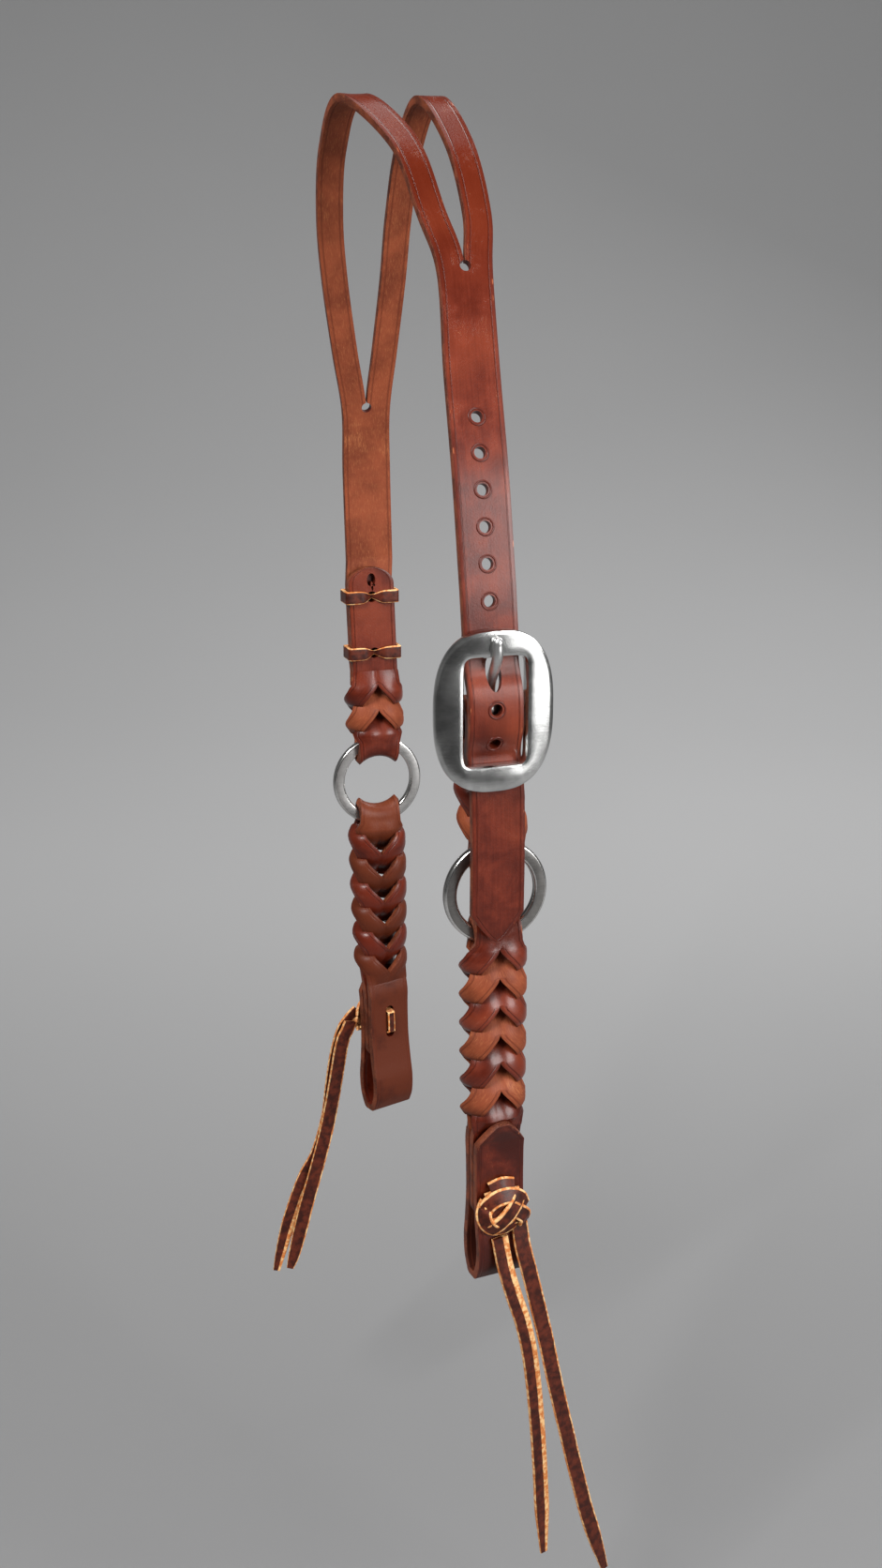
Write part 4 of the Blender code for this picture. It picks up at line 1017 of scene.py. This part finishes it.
# Legs below the chain: shares of the bit loop's length below it, and of the leather's thickness
middleTab = ((0.075, 0.444), (0.172, 0.056), (0.402, 0.000), (0.654, 0.000))
loopLeg = (
    (0.075, -1.000), (0.161, -1.333), (0.276, -1.194), (0.482, -1.167), (0.654, -1.556), (0.791, -2.000),
    (0.906, -1.833), (0.981, -1.111),
)
outerTip = ((0.276, 1.194), (0.161, 1.400), (0.018, 2.420))
bottomShare = 0.667
nearYaw, farYaw = math.radians(cheekLook["nearYaw"]), math.radians(cheekLook["farYaw"])
nearLower = cheekPlace(hang["nearRingX"], -1, False, cheekLook["nearLeanX"], cheekLook["nearLeanOut"],
                       nearYaw, cheekLook["yawFrom"], cheekLook["yawTo"])
farLower = cheekPlace(hang["farRingX"], 1, False, cheekLook["farLeanX"], cheekLook["farLeanOut"],
                      farYaw, cheekLook["yawFrom"], cheekLook["yawTo"])


def belowChain(rows):
    start = chainEnd(chainLook["long"])
    length = cheekLook["end"] - hang["leather"] / 2 - start
    return [(start + length * along, hang["leather"] * outwards) for along, outwards in rows]


def bitLoopRows():
    down = belowChain(loopLeg)
    bottom = belowChain(((1, -bottomShare), (1, bottomShare)))
    return down + bottom + [(s, -n) for s, n in reversed(down[3:])] + belowChain(outerTip)


def makeCheek(name, place, laceAt, materials, turned=False):
    crossings = chainLook["long"]
    end = chainEnd(crossings) + cheekLook["seam"]
    sections = list(reversed(lineLeg(belowChain(middleTab), 8, True)))
    sections += reversed(chainLeg(False, crossings, 0, end, turned))
    sections += ringLoop()
    sections += chainLeg(True, crossings, 0, end, turned)
    sections += lineLeg(bitLoopRows(), 8, True, True)
    strap = buildStrap(name, placed(sections, place), materials)
    way = Vector(place(0, laceAt, 1)) - Vector(place(0, laceAt, 0))
    holes = [(place(0, laceAt + reach, 0), way, cheekLook["laceHoleRadius"], 1.0, (0, 0, 1))
             for reach in (-cheekLook["laceHoleReach"], cheekLook["laceHoleReach"])]
    return pierced(strap, drill(name + "Holes", holes))


nearCheek = makeCheek("nearCheekStrap", nearLower, cheekLook["nearLaceAt"], nearFinish)
settle(nearCheek, "near_cheek", "harness_leather", "near_cheek_strap")
farCheek = makeCheek("farCheekStrap", farLower, cheekLook["farLaceAt"], farFinish, True)
settle(farCheek, "far_cheek", "harness_leather", "far_cheek_strap")
print("cheek straps:", len(nearCheek.data.polygons), "and", len(farCheek.data.polygons), "faces")


# Near hanger. Feet are places beyond the chain and outwards. The rest are how far below the bar, and how
# far outwards or, for the loose end, inwards from the fold.
hangerLook = {
    "outerFoot": (0.0035, 0.0042), "outer": ((0.0209, 0.0066), (0.0149, 0.0093), (0.0114, 0.0109)),
    "outerTop": 0.005, "outerTopShare": 0.93, "middleFoot": (0.0045, -0.0022),
    "middle": ((0.0219, 0.0009), (0.0169, 0.0038), (0.0114, 0.0062)),
    "looseEnd": ((0.0059, 0.0), (0.0109, 0.0017), (0.0159, 0.0043), (0.0209, 0.0074), (0.0264, 0.0120)),
    "slotWidth": 0.0064, "slotClear": 0.0034, "foldSteps": 18,
}


def makeHanger(look):
    bar = buckleLevels()[1]
    atBar = hang["ringDrop"] - ringLook["radius"] - buckleLook["drop"]
    place = cheekPlace(hang["nearRingX"], -1, True, (buckleLook["x"] - hang["nearRingX"]) / atBar)
    wrap = buckleLook["barRadius"] + hang["gap"] + hang["leather"] / 2
    end = chainEnd(chainLook["short"])
    outer = [(end + look["outerFoot"][0], look["outerFoot"][1])]
    outer += [(atBar - below, out) for below, out in look["outer"]]
    outer.append((atBar - look["outerTop"], bar + wrap * look["outerTopShare"]))
    turns = [math.pi * i / look["foldSteps"] for i in range(look["foldSteps"] + 1)]
    fold = [(atBar + wrap * math.sin(turn), bar + wrap * math.cos(turn)) for turn in turns]
    looseEnd = [(atBar - below, bar - wrap - inwards) for below, inwards in look["looseEnd"]]
    middle = [(end + look["middleFoot"][0], look["middleFoot"][1])]
    middle += [(atBar - below, out) for below, out in look["middle"]]
    path = list(reversed(lineLeg(looseEnd, 5, True)))
    path += reversed([flatSection(*spot) for spot in [*through(outer, 5), *fold]])
    path += reversed(chainLeg(False, chainLook["short"], 0, end + cheekLook["seam"]))
    path += ringLoop()
    path += chainLeg(True, chainLook["short"], 0, end + cheekLook["seam"])
    path += lineLeg(middle, 6, True)
    strap = buildStrap("nearHangerStrap", placed(path, place), strapFinish)
    bpy.ops.mesh.primitive_cube_add(size=1)
    slot = bpy.context.object
    low, high = atBar - buckleLook["barRadius"] - look["slotClear"], atBar + wrap + hang["leather"]
    inside, outside = bar - wrap - hang["leather"], bar + wrap + hang["leather"]
    slot.data.transform(Matrix.Diagonal((look["slotWidth"], outside - inside, high - low, 1)))
    slot.data.transform(Matrix.Translation(place(0, (low + high) / 2, (inside + outside) / 2)))
    return pierced(strap, slot)


hanger = makeHanger(hangerLook)
settle(hanger, "near_hanger", "harness_leather", "near_hanger_strap")
print("near hanger:", len(hanger.data.polygons), "faces")


# Metal: rings, buckle and tongue
# Each finish has its tone, then its roughness, brushed hairlines and nicks
steelLook = {
    "polishedSteel": ((0.68, 0.68, 0.67), 0.09, 0.04, 0.10),
    "satinSteel": ((0.44, 0.43, 0.42), 0.26, 0.08, 0.12),
    # a paler copy of the polished steel for the tongue: its higher tone is painted light
    "paintedLightTongueSteel": ((0.80, 0.80, 0.79), 0.30, 0.05, 0.10),
    # a darker copy of the satin steel for the near ring: its lower tone is painted shade
    "paintedShadeSatinSteel": ((0.24, 0.23, 0.22), 0.24, 0.08, 0.12),
    "chamferSteel": ((0.74, 0.73, 0.71), 0.12, 0.02, 0.05),
}
polished, satin, paintedLightTongueSteel, paintedShadeSatin, chamferSteel = (
    steel(name, *values) for name, values in steelLook.items())
print("materials: steel")


def turnedQuads(around, count, flip=False):
    # the faces of a closed outline of so many points that is carried round a closed path
    quads = []
    for step in range(around):
        a, b = step * count, ((step + 1) % around) * count
        for i in range(count):
            j = (i + 1) % count
            quads.append((a + i, a + j, b + j, b + i) if flip else (a + i, b + i, b + j, a + j))
    return quads


def makeRing(name, x, side, look, finish):
    # flat annulus with a rolled chamfer on every edge
    half, outer, inner, c = look["thick"] / 2, look["radius"], look["radius"] - look["band"], look["chamfer"]
    around, perCorner = 128, 5
    outline = []
    for r, h, start in ((outer - c, half - c, 0), (inner + c, half - c, 90), (inner + c, -half + c, 180),
                        (outer - c, -half + c, 270)):
        for k in range(perCorner):
            turn = math.radians(start + 90 * k / (perCorner - 1))
            outline.append((r + c * math.cos(turn), h + c * math.sin(turn)))
    y, z = side * hang["halfSpan"], -hang["ringDrop"]
    turns = [2 * math.pi * step / around for step in range(around)]
    vertices = [(x + r * math.cos(turn), y + h, z + r * math.sin(turn)) for turn in turns for r, h in outline]
    made = addMesh(name, vertices, turnedQuads(around, len(outline)), finish, chamferSteel)
    for face in made.data.polygons:
        face.material_index = 1 if face.index % len(outline) % perCorner != perCorner - 1 else 0
    return smoothShade(made, 45)


# the near ring's darker steel is painted shade
nearRing = makeRing("nearRing", hang["nearRingX"], -1, ringLook, paintedShadeSatin)
settle(nearRing, "near_ring_body", "satin_steel", "near_ring")
farRing = makeRing("farRing", hang["farRingX"], 1, ringLook, satin)
settle(farRing, "far_ring_body", "satin_steel", "far_ring")


def boxPoint(turn, halfWidth, halfHeight, power):
    # a point of a rounded box, squarer for a higher power
    c, s = math.cos(turn), math.sin(turn)
    return (halfWidth * math.copysign(abs(c) ** (2 / power), c),
            halfHeight * math.copysign(abs(s) ** (2 / power), s))


def makeBuckle(look):
    # crowned plate round the window, bowed from side to side, with rolled inner and outer edges. A row is
    # how far it lies from the window to the frame's outside, and how far out.
    y = -hang["halfSpan"] - look["standOff"]
    half = look["thick"] / 2
    rows = [(0.00, -half), (0.00, half * 0.10), (0.006, half * 0.45), (0.055, half * 0.98)]
    for k in range(1, 14):
        t = 0.07 + 0.87 * k / 14
        rows.append((t, half + look["crown"] * math.sin(math.pi * (t - 0.03) / 0.94) ** 0.8))
    rows += [(0.965, half * 0.90), (0.988, half * 0.55), (1.00, -half * 0.1), (0.99, -half * 0.7),
             (0.96, -half), (0.5, -half * 0.82)]
    around = 176
    vertices = []
    for step in range(around):
        turn = 2 * math.pi * (step + 0.5) / around
        inner = boxPoint(turn, look["windowWidth"], look["windowHeight"], look["windowPower"])
        outer = boxPoint(turn, look["halfWidth"], look["halfHeight"], look["framePower"])
        for t, n in rows:
            across = inner[0] + (outer[0] - inner[0]) * t
            bow = look["bow"] * (1 - (across / look["halfWidth"]) ** 2)
            vertices.append((look["x"] + across, y - n - (bow if n > 0 else 0.0),
                             inner[1] + (outer[1] - inner[1]) * t - look["drop"]))
    return smoothShade(addMesh("buckleFrame", vertices, turnedQuads(around, len(rows), True), polished), 24)


def roundRod(name, route, radii, material, perSpan=6):
    # a round rod through places, with a radius at each
    curve = bpy.data.curves.new(name, "CURVE")
    curve.dimensions = "3D"
    curve.bevel_depth = 1.0
    curve.bevel_resolution = 5
    curve.use_fill_caps = True
    table = through([tuple(p) + (r,) for p, r in zip(route, radii)], perSpan)
    spline = curve.splines.new("POLY")
    spline.points.add(len(table) - 1)
    for i, row in enumerate(table):
        spline.points[i].co = (*row[:3], 1)
        spline.points[i].radius = row[3]
    curve.materials.append(material)
    made = addObject(name, curve)
    return smoothShade(cleanCopy(made), 50)


barLook = {"beyondWindow": 0.0045, "bend": 0.0032, "lean": 0.0004, "sunk": 0.001, "middle": 1.05, "end": 1.15}


def makeBar(look, buckle):
    # the set-back centre bar, with arms that thicken as they rise to the frame's sides
    x, z = buckle["x"], -buckle["drop"]
    barY, frameY = -hang["halfSpan"] - buckleLevels()[1], -hang["halfSpan"] - buckle["standOff"]
    reach = buckle["windowWidth"] + look["beyondWindow"]
    arm = ((reach - look["bend"], barY, 1), (reach - look["lean"], (barY + frameY) / 2, look["middle"]),
           (reach, frameY + look["sunk"], look["end"]))
    rows = [(-out, y, share) for out, y, share in reversed(arm)] + [(0, barY, 1)] + list(arm)
    return roundRod("buckleBar", [(x + out, y, z) for out, y, _ in rows],
                    [buckle["barRadius"] * share for _, _, share in rows], polished)


settle(makeBuckle(buckleLook), "crown", "polished_steel", "buckle_frame")
settle(makeBar(barLook, buckleLook), "crown", "polished_steel")
tongueLook = {
    "radius": 0.0024, "clear": 0.0004, "eyeSide": 0.0013, "eyeWide": 0.0025, "leaves": 70,
    "underOut": 0.0020, "underUp": 0.0115, "edgeOut": 0.0103, "tip": 0.0034,
    "thinning": ((0.5, 0.92), (0.85, 0.62), (1.0, 0.22)),
}


def makeTongue(look, buckle):
    # a rod from its eye round the bar, over the frame's edge to a thinned tip
    x, z, atY = buckle["x"], -buckle["drop"], -hang["halfSpan"] - buckleLevels()[1]
    wall = buckle["barRadius"] + look["clear"] + look["eyeSide"]
    face = hang["halfSpan"] + buckle["standOff"] + buckle["thick"] / 2 + buckle["crown"]
    crestY = -face - look["clear"] - look["radius"]
    leaves = math.radians(look["leaves"])
    start = Vector((x, atY - wall * math.cos(leaves), z + wall * math.sin(leaves)))
    under = Vector((x, atY - look["underOut"], z + look["underUp"]))
    edge = Vector((x, atY - look["edgeOut"], z + buckle["windowHeight"]))
    crest = Vector((x, crestY, z + (buckle["windowHeight"] + buckle["halfHeight"]) / 2))
    tip = crest + (crest - edge).normalized() * look["tip"]
    route = [start, under, edge, crest] + [crest.lerp(tip, at) for at, _ in look["thinning"]]
    radii = [look["radius"] * share for share in [1] * 4 + [share for _, share in look["thinning"]]]
    # the tongue's paler steel is painted light
    shaft = roundRod("buckleTongue", route, radii, paintedLightTongueSteel)
    work = bmesh.new()
    work.from_mesh(shaft.data)
    around, about = 48, 14
    rings = []
    for step in range(around):
        turn = 2 * math.pi * step / around
        out = Vector((0, math.cos(turn), math.sin(turn)))
        centre = Vector((x, atY + wall * math.cos(turn), z + wall * math.sin(turn)))
        ring = []
        for k in range(about):
            roll = 2 * math.pi * k / about
            sideways = Vector((look["eyeWide"] * math.sin(roll), 0, 0))
            ring.append(work.verts.new(centre + out * look["eyeSide"] * math.cos(roll) + sideways))
        rings.append(ring)
    for step in range(around):
        a, b = rings[step], rings[(step + 1) % around]
        for k in range(about):
            work.faces.new((a[k], b[k], b[(k + 1) % about], a[(k + 1) % about]))
    bmesh.ops.recalc_face_normals(work, faces=work.faces)
    work.to_mesh(shaft.data)
    work.free()
    return smoothShade(shaft, 50)


settle(makeTongue(tongueLook, buckleLook), "tongue", "polished_steel", "buckle_tongue")
print("metal: rings, buckle and tongue")


# Laces: ties, knots and free tails
laceLook = {
    "width": 0.0085, "thick": 0.0021, "tieWidth": 0.007, "tieThick": 0.0019, "tieCorner": 0.0008,
    "knotWidth": 0.0080, "knotLayer": 0.9, "knotSeat": 0.0033, "lapLean": 0.055, "stapleShare": 0.55,
    "stapleCorner": 0.0006, "stapleBend": 0.0025, "tailTip": 0.50, "tailTaper": 3.2,
}
# From a tie's middle sideways: place, how far it dips into the tab's hole, and width in shares of its own
tiePinch = ((0.0018, 0.0014, 0.50), (0.0048, 0.0, 0.88), (0.0080, 0.0, 1.0))
tieDip, tieDipShare = 0.0030, 0.30


def makeTie(name, height):
    # a lace round the strap and its tab, both ends drawn into the hole in the middle
    side = hang["strapWidth"] / 2 + hang["gap"] + laceLook["tieThick"] / 2
    out = crownLook["layer"] + hang["leather"] / 2 + hang["gap"] + laceLook["tieThick"] / 2
    c = laceLook["tieCorner"]
    half = [(x, -out + dip, (0, -1), share) for x, dip, share in tiePinch]
    half += [(side - c, -out, (0, -1), 1), (side, -out + c, (1, -0.3), 1), (side, 0, (1, 0), 1),
             (side, out - c, (1, 0.3), 1), (side - c, out, (0, 1), 1)]
    outline = [(0, -out + tieDip, (0, -1), tieDipShare)]
    outline += [(-x, n, (-fx, fn), share) for x, n, (fx, fn), share in half]
    outline += [(0, out, (0, 1), 1)] + half[::-1]
    points = [(farUpper(x, height, n), (fx, fn, 0), share) for x, n, (fx, fn), share in outline]
    route = {"points": points, "closed": True}
    return lace(name, [route], laceLook["tieWidth"], laceLook["tieThick"], tieFinish, 3)


settle(makeTie("upperTie", crownLook["upperTie"]), "crown", "lace_leather", "upper_tie")
settle(makeTie("lowerTie", crownLook["lowerTie"]), "crown", "lace_leather", "lower_tie")

# Laps of the knot in millimetres from its middle: to the side, down the strap, outwards from the face
knotLaps = {
    "bed": [(-8.6, -5.4, 0.9), (0.0, -6.8, 1.6), (8.6, -5.4, 0.9)],
    "lowBed": [(-8.6, 1.6, 1.1), (0.0, 1.0, 1.9), (8.6, 1.6, 1.1)],
    "topEnd": [(-6.2, -10.8, 0.8), (0.0, -12.6, 1.4), (6.2, -10.8, 0.8)],
    "lowBand": [(-9.6, 4.0, 1.4), (-6.2, 7.6, 2.8), (-1.0, 9.0, 3.4), (5.0, 7.2, 2.8), (9.6, 3.2, 1.4)],
    "leftBulge": [(-8.6, -6.0, 2.2), (-11.4, -1.6, 3.4), (-10.8, 3.6, 3.8), (-7.2, 7.8, 3.8),
                  (-2.4, 9.6, 2.8)],
    "rightBulge": [(2.6, -1.0, 3.2), (6.8, 1.2, 4.8), (10.2, 4.4, 4.2), (10.8, 8.4, 1.6)],
    "arch": [(-10.8, 0.2, 2.0), (-9.4, -4.8, 4.0), (-4.4, -8.0, 4.9), (2.4, -8.4, 5.1), (8.2, -5.4, 4.6),
             (11.0, 0.0, 2.6)],
    "leftLap": [(-10.4, -0.6, 3.4), (-6.0, -1.2, 4.6), (-1.0, -1.2, 4.7), (4.0, -0.6, 3.8)],
    "core": [(-7.6, 5.0, 3.0), (-2.4, 4.6, 4.2), (3.4, 4.0, 4.2), (7.4, 4.6, 3.0)],
    "diagonal": [(8.4, -7.4, 3.0), (5.4, -4.4, 5.8), (1.2, -0.4, 7.0), (-3.0, 3.6, 6.4), (-6.2, 6.8, 4.6),
                 (-8.6, 9.2, 2.0)],
}


def knotFace(along):
    # how far out a knot's middle layer lies on the bit loop's outer leg
    rows = belowChain(loopLeg)
    return laceLook["knotSeat"] - float(np.interp(along, [row[0] for row in rows], [row[1] for row in rows]))


def makeKnot(name, place, laceAt, flip=1):
    # laid laps on the face, and a staple of the same lace through the strap's two holes
    middle = Vector(place(0, laceAt, 0))
    out = (Vector(place(0, laceAt, 1)) - middle).normalized()
    wide = (Vector(place(1, laceAt, 0)) - middle).normalized()
    down = (Vector(place(0, laceAt + 0.01, 0)) - middle).normalized()
    runs = []
    for route in knotLaps.values():
        points = []
        for x, s, n in route:
            along = laceAt + s / 1000
            lean = out + (wide * flip * x + down * s) * laceLook["lapLean"]
            points.append((place(flip * x / 1000, along, knotFace(along) + n / 1000), tuple(lean), 1.0))
        runs.append({"points": points})
    reach = cheekLook["laceHoleReach"]
    high, low = knotFace(laceAt + reach), knotFace(laceAt - reach)
    corner, bend = laceLook["stapleCorner"], laceLook["stapleBend"]
    staple = (
        (-reach, low, -1), (-reach, 0.0, -1), (-reach + corner, -low + corner, -0.6),
        (-reach + bend, -low, 0), (reach - bend, -high, 0),
        (reach - corner, -high + corner, 0.6), (reach, 0.0, 1), (reach, high, 1),
    )
    points = []
    for s, n, lean in staple:
        way = down * -lean - out * (1 - abs(lean))
        points.append((place(0, laceAt + s, n), tuple(way), laceLook["stapleShare"]))
    runs.append({"points": points})
    thick = laceLook["thick"] * laceLook["knotLayer"]
    return lace(name, runs, laceLook["knotWidth"], thick, knotFinish, 5)


nearLaceAt, farLaceAt = cheekLook["nearLaceAt"], cheekLook["farLaceAt"]
settle(makeKnot("nearBitLace", nearLower, nearLaceAt), "near_cheek", "lace_leather", "near_bit_lace")
settle(makeKnot("farBitLace", farLower, farLaceAt, -1), "far_cheek", "lace_leather", "far_bit_lace")

# Routes of the free tails from the middle of the knot's face, as the solids have them, in shares of the
# unit: back, outwards and down
tailUnit = 0.2
tailShares = {
    "nearTailRear": (
        (0.0443, 0.0032, 0.0465), (0.0505, 0.0144, 0.1080), (0.0676, 0.0218, 0.1855),
        (0.0943, 0.0239, 0.3005), (0.1147, 0.0264, 0.3930), (0.1322, 0.0274, 0.4805),
        (0.1532, 0.0264, 0.5755), (0.1747, 0.0254, 0.6680), (0.1952, 0.0229, 0.7555),
        (0.2162, 0.0204, 0.8405), (0.2377, 0.0179, 0.9255), (0.2597, 0.0154, 1.0005),
        (0.2827, 0.0134, 1.0755), (0.2997, 0.0119, 1.1330),
    ),
    "nearTailFront": (
        (-0.0100, 0.0130, 0.0735), (0.0010, 0.0215, 0.1455), (0.0204, 0.0308, 0.2255),
        (0.0445, 0.0355, 0.3055), (0.0627, 0.0354, 0.3905), (0.0767, 0.0284, 0.4755),
        (0.0887, 0.0204, 0.5630), (0.0982, 0.0154, 0.6505), (0.1057, 0.0124, 0.7355),
        (0.1117, 0.0104, 0.8180), (0.1162, 0.0104, 0.8955), (0.1202, 0.0104, 0.9655),
        (0.1242, 0.0104, 1.0355),
    ),
    "farTailFront": (
        (-0.0572, 0.0047, -0.0170), (-0.0830, 0.0036, 0.0080), (-0.1044, 0.0054, 0.0430),
        (-0.1223, 0.0184, 0.1255), (-0.1329, 0.0381, 0.2355), (-0.1428, 0.0534, 0.3430),
        (-0.1768, 0.0534, 0.4555), (-0.2213, 0.0534, 0.5355), (-0.2688, 0.0534, 0.6655),
        (-0.2948, 0.0534, 0.7555), (-0.3143, 0.0534, 0.8330),
    ),
    "farTailRear": (
        (-0.0884, -0.0232, 0.0030), (-0.0973, -0.0196, 0.0305), (-0.1122, -0.0117, 0.0755),
        (-0.1279, 0.0152, 0.2155), (-0.1448, 0.0349, 0.3405), (-0.1658, 0.0359, 0.4280),
        (-0.1918, 0.0359, 0.5205), (-0.2178, 0.0359, 0.6105), (-0.2413, 0.0359, 0.7005),
        (-0.2623, 0.0359, 0.7805), (-0.2758, 0.0359, 0.8230),
    ),
}
# How far a tail's face is turned at its tip and at the knot
nearFacing, farFacing = (0.25, nearYaw), (-0.15, -farYaw)
tailHomes = {
    "nearTailRear": ("near_lace_tail_rear", "near_cheek", nearLower, nearLaceAt, -1, nearFacing),
    "nearTailFront": ("near_lace_tail_front", "near_cheek", nearLower, nearLaceAt, -1, nearFacing),
    "farTailFront": ("far_lace_tail_front", "far_cheek", farLower, farLaceAt, 1, farFacing),
    "farTailRear": ("far_lace_tail_rear", "far_cheek", farLower, farLaceAt, 1, farFacing),
}


def makeTail(name, node, body, place, laceAt, side, facing):
    # a tail that turns its flat face along its way and narrows to its tip
    knot = Vector(place(0, laceAt, knotFace(laceAt)))
    route = [tuple(knot + Vector((x, side * n, -down)) * tailUnit) for x, n, down in tailShares[name]]
    count = len(route)
    points = []
    for i, spot in enumerate(route):
        left = (count - 1 - i) / (count - 1)
        turn = facing[0] + (facing[1] - facing[0]) * left ** 2
        out = (-side * math.sin(turn), side * math.cos(turn), 0)
        points.append((spot, out, min(1.0, laceLook["tailTip"] + laceLook["tailTaper"] * left)))
    made = lace(name, [{"points": points}], laceLook["width"], laceLook["thick"], tailFinish[name])
    settle(made, body, "lace_leather", node)
    line = through(route, 6)
    length = float(np.linalg.norm(np.diff(line, axis=0), axis=1).sum())
    print(name, "length", round(length, 4))


for name, home in tailHomes.items():
    makeTail(name, *home)
print("laces")
